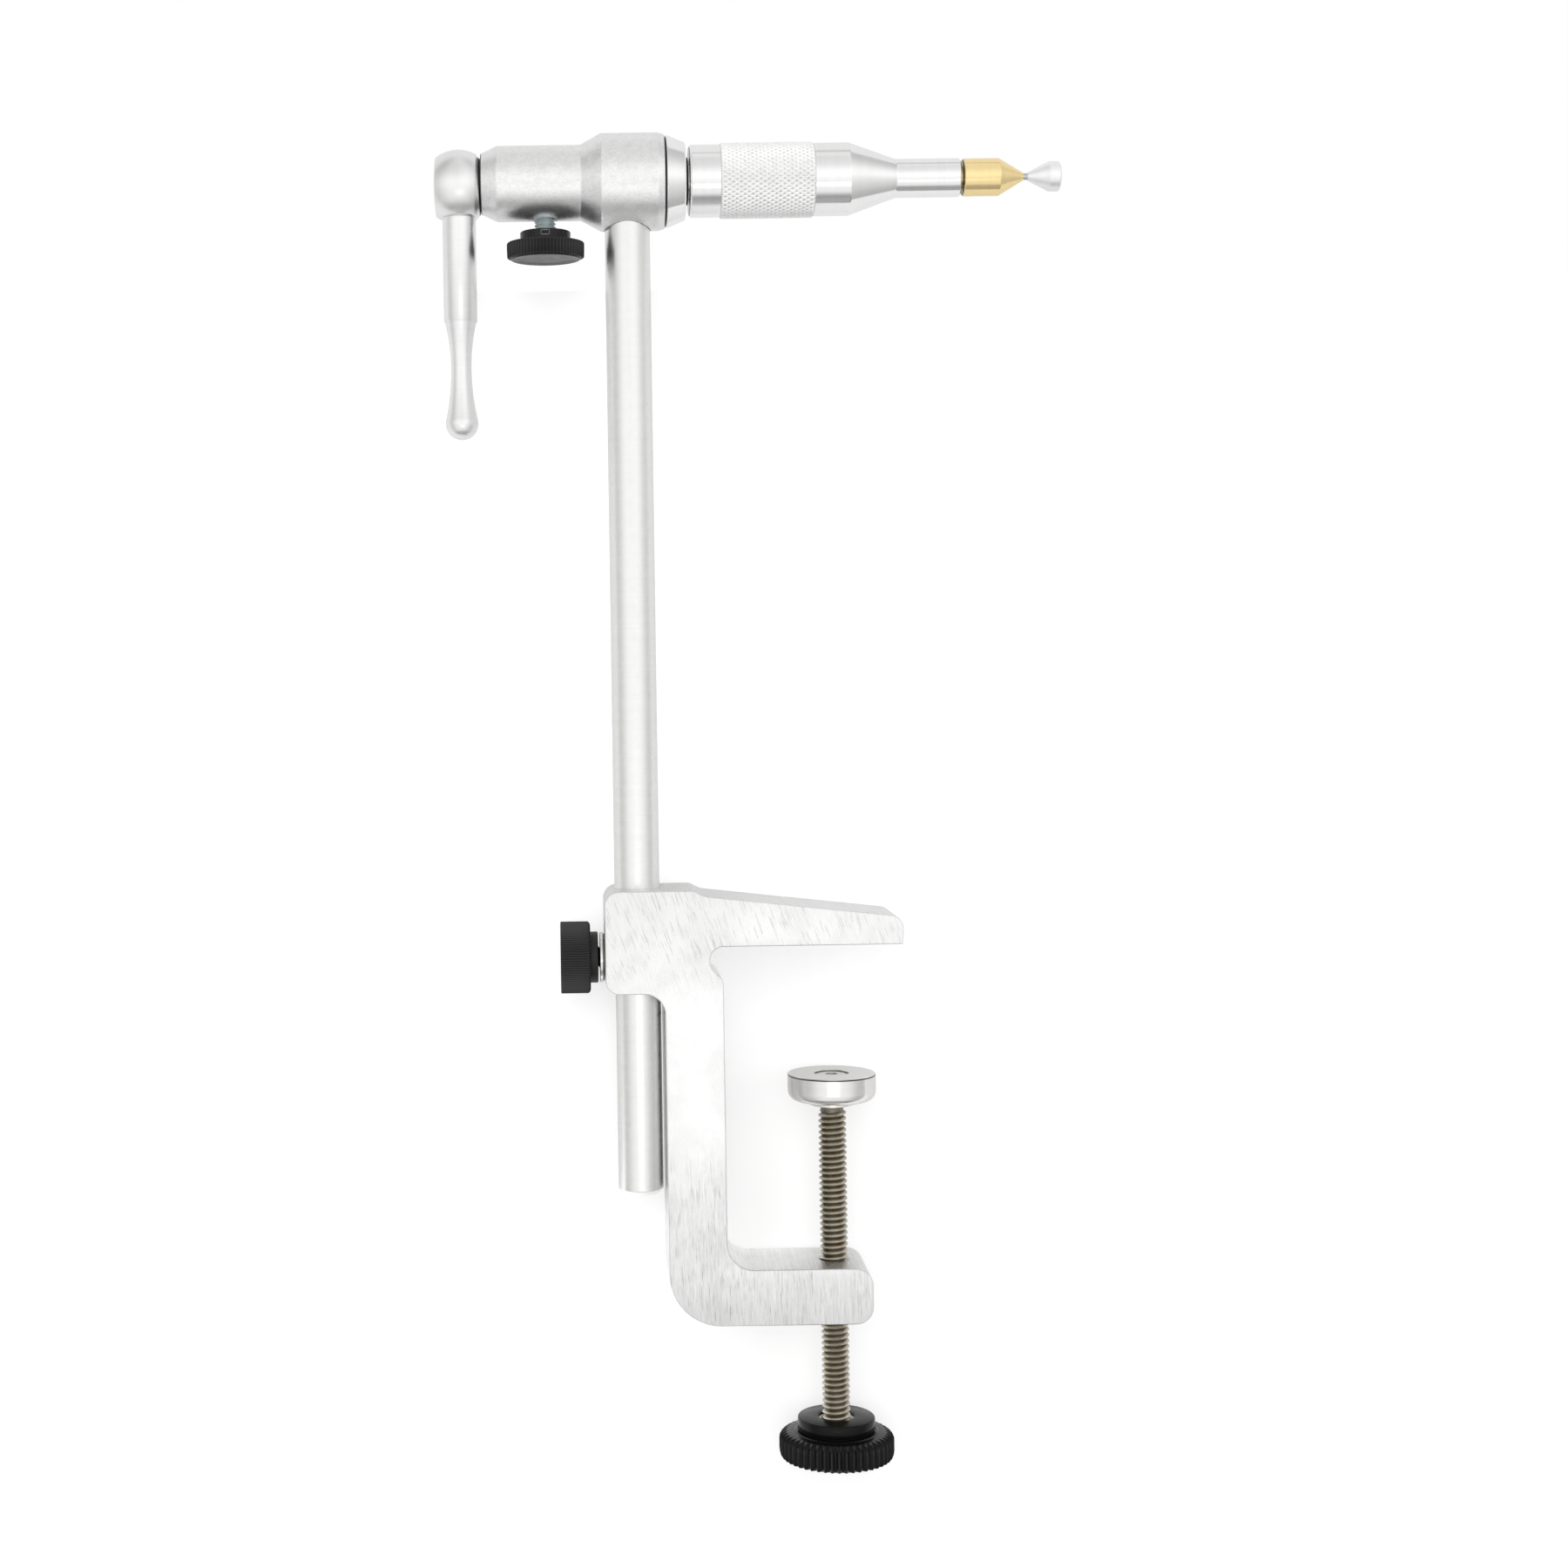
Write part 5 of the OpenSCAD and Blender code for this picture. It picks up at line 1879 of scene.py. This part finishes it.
@dataclass
class ClampScrew:
    """Screw of the clamp, with the swivelling pad on its end and the knob with its insert."""

    pad_top: float = -29.5
    pad_r: float = 9.75
    pad_h: float = 6.0
    pad_edge: float = 2.2
    recess_r: float = 3.95
    recess_h: float = 2.2
    head_r: float = 3.2
    boss_r: float = 4.9
    boss_h: float = 1.0
    journal_r: float = 2.4
    pad_screw_r: float = 1.5
    running: float = 0.05
    screw_r: float = 3.12
    pitch: float = 1.27
    knob_top: float = -105.9
    hub_r: float = 8.65
    hub_h: float = 2.8
    groove_h: float = 0.6
    rim_r: float = 12.75
    rim_h: float = 5.7
    foot_h: float = 2.4
    insert_r: float = 3.95
    flutes: int = 48
    flute_depth: float = 0.66
    # The flutes' crests get a painted highlight.
    plastic: MouldedPlastic = MouldedPlastic(
        SCREW, (0.005, 0.005, 0.005), roughness=0.19, depth=0.010, specular=0.15,
        valley=12.3, crest=12.74, wear_and_sheen=3.4,
    )  # fmt: skip

    def build(self, shop: Shop) -> None:
        """Makes the pad, the screw, the knob and its insert, and dresses the pad's screw."""
        self._pad(shop)
        self._screw(shop)
        self._knob(shop)

    def _pad(self, shop: Shop) -> None:
        """Makes the pressure pad and dresses the screw that holds it."""
        bottom = self.pad_top - self.pad_h
        boss = bottom - self.boss_h
        floor = self.pad_top - self.recess_h
        bore = self.journal_r + self.running
        section = [
            (boss, bore, 0.1),
            (boss, self.boss_r, 0.15),
            (bottom, self.boss_r, 0.0),
            (bottom, self.pad_r, self.pad_edge),
            (self.pad_top - 0.2, self.pad_r, 0.0),
            (self.pad_top, self.pad_r - 0.2, 0.06),
            (self.pad_top, self.recess_r, 0.12),
            (self.pad_top - 0.45, self.recess_r - 0.3, 0.1),
            (self.pad_top - 0.55, self.head_r + 0.12, 0.1),
            (floor, self.head_r + 0.08, 0.1),
            (floor, bore, 0.05),
        ]
        pad = lathe("pressure_pad_disc", section, SCREW, segments=144, bored=True)
        # Painted shade along the pad's top edge.
        polished = TurnedMetal(
            SCREW, colour=(0.90, 0.885, 0.87), roughness=0.21, depth=0.004, ring=0.05, wear=0.9,
            shaded_seams=((self.pad_top - 0.3, 0.2),),
        )
        shop.hand_over(pad, "pressure_pad", "pad", Slot.POLISHED, polished.material("pad_steel"))
        dark = TurnedMetal(SCREW, colour=(0.86, 0.85, 0.84), roughness=0.3, depth=0.004)
        shop.dress("pad_screw", dark.material("pad_screw_steel"))

    def _screw(self, shop: Shop) -> None:
        """Makes the threaded rod and its neck."""
        shoulder = self.pad_top - self.pad_h - self.boss_h - self.running
        journal_top = self.pad_top - self.recess_h + self.running
        top = shoulder - 0.95
        bottom = self.knob_top - self.hub_h - self.groove_h - self.rim_h + self.foot_h
        # Painted shade in the screw's thread roots.
        grooved = GroovedMetal(
            SCREW, (0.60, 0.56, 0.47), (0.46, 0.36, 0.22), 0.24, depth=0.012, root=2.4, crest=3.05, shade=0.4
        )
        metal = grooved.material("clamp_screw_steel")
        rod = shop.threaded(
            "screw_thread", SCREW, (bottom, top), self.screw_r, self.pitch, metal, columns=64
        )
        neck_r, hole_end = 2.7, journal_top - 6.8
        section = [
            (top - 1.2, 0, 0),
            (top - 1.2, 2.35, 0),
            (top + 0.25, 2.55, 0.1),
            (shoulder - 0.55, neck_r, 0.15),
            (shoulder, neck_r, 0.1),
            (shoulder, self.journal_r, 0),
            (journal_top, self.journal_r, 0.1),
            (journal_top, self.pad_screw_r, 0),
            (hole_end, self.pad_screw_r, 0),
            (hole_end, 0, 0),
        ]
        screw = joined("clamp_screw_rod", [rod, lathe("screw_neck", section, SCREW)])
        shop.hand_over(screw, "clamp_screw", "clamp_screw", Slot.DARK, metal)

    def _knob(self, shop: Shop) -> None:
        """Makes the knob and the metal ring in it."""
        top = self.knob_top
        rim_top = top - self.hub_h - self.groove_h
        bottom = rim_top - self.rim_h
        foot = bottom + self.foot_h
        r, h = self.rim_r, self.hub_r
        section = [
            (foot, self.insert_r, 0),
            (top - 0.1, self.insert_r, 0),
            (top, self.insert_r + 0.35, 0.1),
            (top, h - 0.45, 0.0),
            (top - 0.12, h - 0.22, 0.0),
            (top - 0.3, h - 0.1, 0.0),
            (top - self.hub_h + 0.3, h, 0.0),
            (top - self.hub_h, h - 0.2, 0.0),
            (top - self.hub_h - 0.05, h - 0.65, 0.15),
            (rim_top + 0.25, h - 0.7, 0.15),
            (rim_top + 0.3, h + 0.35, 0.15),
            (rim_top + 0.1, h + 0.75, 0.2),
            (rim_top, r - 1.9, 0.0),
            (rim_top - 0.08, r - 1.4, 0.0),
            (rim_top - 0.3, r - 0.85, 0.0),
            (rim_top - 0.75, r - 0.3, 0.0),
            (rim_top - 1.4, r, 0.0),
            (rim_top - 2.6, r, 0.0),
            (bottom + 2.0, r, 0.0),
            (bottom + 1.0, r - 0.12, 0.0),
            (bottom + 0.4, r - 0.35, 0.0),
            (bottom + 0.1, r - 0.65, 0.0),
            (bottom, r - 1.0, 0.0),
            (bottom, 8.0, 0.2),
            (bottom + 0.8, 7.7, 0.2),
            (bottom + 0.8, 4.7, 0.2),
            (bottom, 4.4, 0.2),
            (bottom, NEAR_AXIS, 0),
            (foot, NEAR_AXIS, 0),
        ]
        knob = shop.fluted(
            "clamp_knob_grip", section, SCREW, self.flutes, self.flute_depth, (r - 2.0, r - 1.1),
            (bottom, rim_top), self.plastic.material("clamp_knob_plastic"),
        )
        shop.hand_over(knob, "clamp_knob", "clamp_screw", Slot.PLASTIC)
        self._insert(shop, foot, top - 0.4)

    def _insert(self, shop: Shop, bottom: float, top: float) -> None:
        """Makes the metal ring in the knob."""
        section = [
            (bottom, self.screw_r, 0),
            (top - 0.35, self.screw_r, 0.0),
            (top, self.screw_r + 0.3, 0.08),
            (top, self.insert_r - 0.1, 0.08),
            (top - 0.15, self.insert_r, 0.0),
            (bottom, self.insert_r, 0),
        ]
        ring = lathe("knob_insert_ring", section, SCREW, bored=True)
        dull = TurnedMetal(SCREW, colour=(0.50, 0.48, 0.44), roughness=0.3, depth=0.006)
        shop.hand_over(ring, "knob_insert", "clamp_screw", Slot.DARK, dull.material("insert_steel"))


# ------------------------------------------------------------------------------
# Studio
# ------------------------------------------------------------------------------


@dataclass
class Studio:
    """Camera, pale backdrop close behind the vise, lamps and the bright room that the metal reflects.

    The angles are in degrees. The zones are greys of the room that the metal sees, each with its
    place: from 0 below to 1 above in zones_up, and from 0 in the middle to 1 at the side in
    zones_aside.
    """

    camera_at: Corner = (-57.76, -534.39, 62.54)
    yaw: float = 0.11
    pitch: float = -0.276
    roll: float = 0.845
    lens: float = 55.195
    shift: Span = (0.1361, -0.07)
    backdrop_y: float = 13.0
    sheet_reach: float = 4000.0
    sheet_top: float = 147.0
    sheet_seen: float = 0.5
    sheet_mirrored: float = 0.14
    zones_up: tuple[Span, ...] = (
        (0, 0.45), (0.015, 0.365), (0.05, 0.285), (0.12, 0.79), (0.2, 0.84), (0.27, 0.83),
        (0.36, 0.85), (0.44, 0.91), (0.5, 0.97), (0.56, 1), (0.64, 0.945), (0.7, 0.865),
        (0.76, 0.78), (0.82, 0.7), (0.88, 0.665), (0.95, 0.63), (1.0, 0.755),
    )  # fmt: skip
    zones_aside: tuple[Span, ...] = (
        (0.0, 0.96), (0.3, 1.0), (0.5, 1.0), (0.74, 0.86), (0.92, 0.63), (1.0, 0.60),
    )  # fmt: skip
    behind: float = 0.73
    mirrored_light: float = 1.1
    soft_light: float = 0.55

    def camera(self) -> None:
        """Places the camera at the photograph's viewing angle."""
        data = bpy.data.cameras.new("camera")
        data.lens = self.lens
        data.sensor_width = 36.0
        data.shift_x, data.shift_y = self.shift
        data.clip_start, data.clip_end = 0.01, 20.0
        yaw, pitch, roll = (math.radians(angle) for angle in (self.yaw, self.pitch, self.roll))
        ahead = Vector((math.sin(yaw) * math.cos(pitch), math.cos(yaw) * math.cos(pitch), math.sin(pitch)))
        level = Vector((math.cos(yaw), -math.sin(yaw), 0))
        upright = level.cross(ahead)
        right = level * math.cos(roll) - upright * math.sin(roll)
        up = level * math.sin(roll) + upright * math.cos(roll)
        turn = Matrix((right, up, -ahead)).transposed().to_4x4()
        made = bpy.data.objects.new("camera", data)
        made.matrix_world = Matrix.Translation(Vector(self.camera_at) * MM) @ turn
        bpy.context.scene.collection.objects.link(made)
        bpy.context.scene.camera = made

    def backdrop(self) -> None:
        """Makes the sheet behind the clamp, which keeps its faint shadow and ends below the head's swing."""
        size, top, y = (length * MM for length in (self.sheet_reach, self.sheet_top, self.backdrop_y))
        corners = [(-size, y, -size), (size, y, -size), (size, y, top), (-size, y, top)]
        mesh = bpy.data.meshes.new("backdrop")
        mesh.from_pydata(corners, [], [(0, 1, 2, 3)])
        sheet = shown("backdrop", mesh)
        made = bpy.data.materials.new("backdrop_white")
        graph = emptied(made)
        path = graph.node("ShaderNodeLightPath")
        mirrored = graph.out(path, "Is Glossy Ray").high(graph.out(path, "Is Transmission Ray"))
        x, _, z = graph.parts(graph.out(graph.node("ShaderNodeTexCoord"), "Object"))
        # Painted reflection: for glossy rays the sheet glows darker above the head and lighter below and in
        # the frame's notch, so the metal mirrors these zones.
        above = z.step(0.176, 0.190) * (1.0 - x.step(-0.03, -0.022) * 0.8)
        below = (1.0 - z.step(-0.066, -0.056)) * (0.42 - x.step(-0.014, 0.002) * 0.26)
        notch = z.step(-0.015, -0.011) * (1.0 - z.step(0.001, 0.004)) * x.step(-0.036, -0.032) * 0.40
        glow = self.sheet_mirrored - above * 0.12 + below + notch
        matte = graph.node("ShaderNodeBsdfDiffuse", {}, {"Color": (0.62, 0.62, 0.62, 1.0)})
        glow = graph.node(
            "ShaderNodeEmission",
            {},
            {
                "Color": (1.0, 1.0, 1.0, 1.0),
                "Strength": graph.out(path, "Is Camera Ray") * self.sheet_seen + mirrored * glow,
            },
        )
        both = graph.node(
            "ShaderNodeAddShader", {}, {0: graph.out(matte, "BSDF"), 1: graph.out(glow, "Emission")}
        )
        clear = graph.node("ShaderNodeBsdfTransparent")
        back = graph.out(graph.node("ShaderNodeNewGeometry"), "Backfacing")
        sides = graph.mix_shaders(back, graph.out(both, "Shader"), graph.out(clear, "BSDF"))
        graph.node("ShaderNodeOutputMaterial", {}, {"Surface": sides})
        sheet.data.materials.append(made)

    def room(self) -> None:
        """Lights the scene from a white room that the metal sees as bright and grey zones."""
        world = bpy.data.worlds.new("room")
        graph = emptied(world)
        bpy.context.scene.world = world
        across, depth, height = graph.parts(graph.out(graph.node("ShaderNodeTexCoord"), "Generated"))
        upright = graph.node("ShaderNodeValToRGB", {"stops": self.zones_up}, {0: height * 0.5 + 0.5})
        aside = abs(across) / graph.math("SQRT", across * across + depth * depth).high(0.001)
        level = graph.node("ShaderNodeValToRGB", {"stops": self.zones_aside}, {0: aside})
        tilt = across.high(0.0) * height
        front = graph.scaled(graph.out(upright, "Color"), graph.out(level, "Color"))
        front = graph.scaled(front, (tilt * 0.3).high(tilt * 0.58) + 1.0)
        seen = graph.colour_mix(depth.step(0.0, 0.12), front, (self.behind,) * 3)
        path = graph.node("ShaderNodeLightPath")
        direct = graph.out(path, "Is Camera Ray").high(graph.out(path, "Is Transmission Ray"))
        white = (1.0, 1.0, 1.0)
        glossy = graph.background(seen, self.mirrored_light)
        plain = graph.background(white, 1.0)
        soft = graph.background(white, self.soft_light)
        lit = graph.mix_shaders(graph.out(path, "Is Glossy Ray"), soft, glossy)
        whole = graph.mix_shaders(direct, lit, plain)
        graph.node("ShaderNodeOutputWorld", {}, {"Surface": whole})

    @staticmethod
    def lamp(
        name: str, at: Corner, aim: Corner, size: Span, power: float, mirrored: bool = False
    ) -> None:
        """Places one softbox.

        Args:
            name: Name of the lamp.
            at: Where it stands, in metres.
            aim: The point that it faces, in metres.
            size: Its width and height, in metres.
            power: Its power.
            mirrored: Whether the metal shows it; the room stands for the others in reflections.
        """
        data = bpy.data.lights.new(name, "AREA")
        data.shape = "RECTANGLE"
        data.size, data.size_y = size
        data.energy = power
        made = bpy.data.objects.new(name, data)
        way = Vector(aim) - Vector(at)
        made.matrix_world = Matrix.Translation(at) @ way.to_track_quat("-Z", "Y").to_matrix().to_4x4()
        made.visible_glossy = mirrored
        bpy.context.scene.collection.objects.link(made)

    def build(self) -> None:
        """Sets up the whole studio."""
        self.camera()
        self.backdrop()
        self.room()
        middle, square = (-0.02, 0.0, 0.05), (0.9, 0.9)
        self.lamp("front_softbox", (-0.3, -1.5, 0.5), middle, (1.3, 1.3), 9.0)
        self.lamp("left_softbox", (-1.2, -0.7, 0.3), middle, square, 5.0)
        self.lamp("right_softbox", (1.2, -0.7, 0.3), middle, square, 4.0)
        self.lamp("top_softbox", (0.0, -0.5, 1.3), middle, square, 4.0)
        self.lamp(
            "low_softbox", (-0.01, -0.61, -0.125), (-0.02, 0.0, -0.02), (0.3, 0.1), 0.075, mirrored=True
        )
        bpy.context.scene.view_settings.view_transform = "Standard"


def main() -> None:
    """Builds the sub-assemblies in order."""
    logging.basicConfig(level=logging.INFO, format="%(name)s: %(message)s")
    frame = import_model()
    shop = Shop(frame["nodes"])
    Studio().build()
    ClampFrame().build(shop)
    Stem().build(shop)
    StemLock().build(shop)
    Head().build(shop)
    DragScrew().build(shop)
    Rotor().build(shop)
    Crank().build(shop)
    Nose().build(shop)
    Mandrel().build(shop)
    ClampScrew().build(shop)


if __name__ == "__main__":
    main()
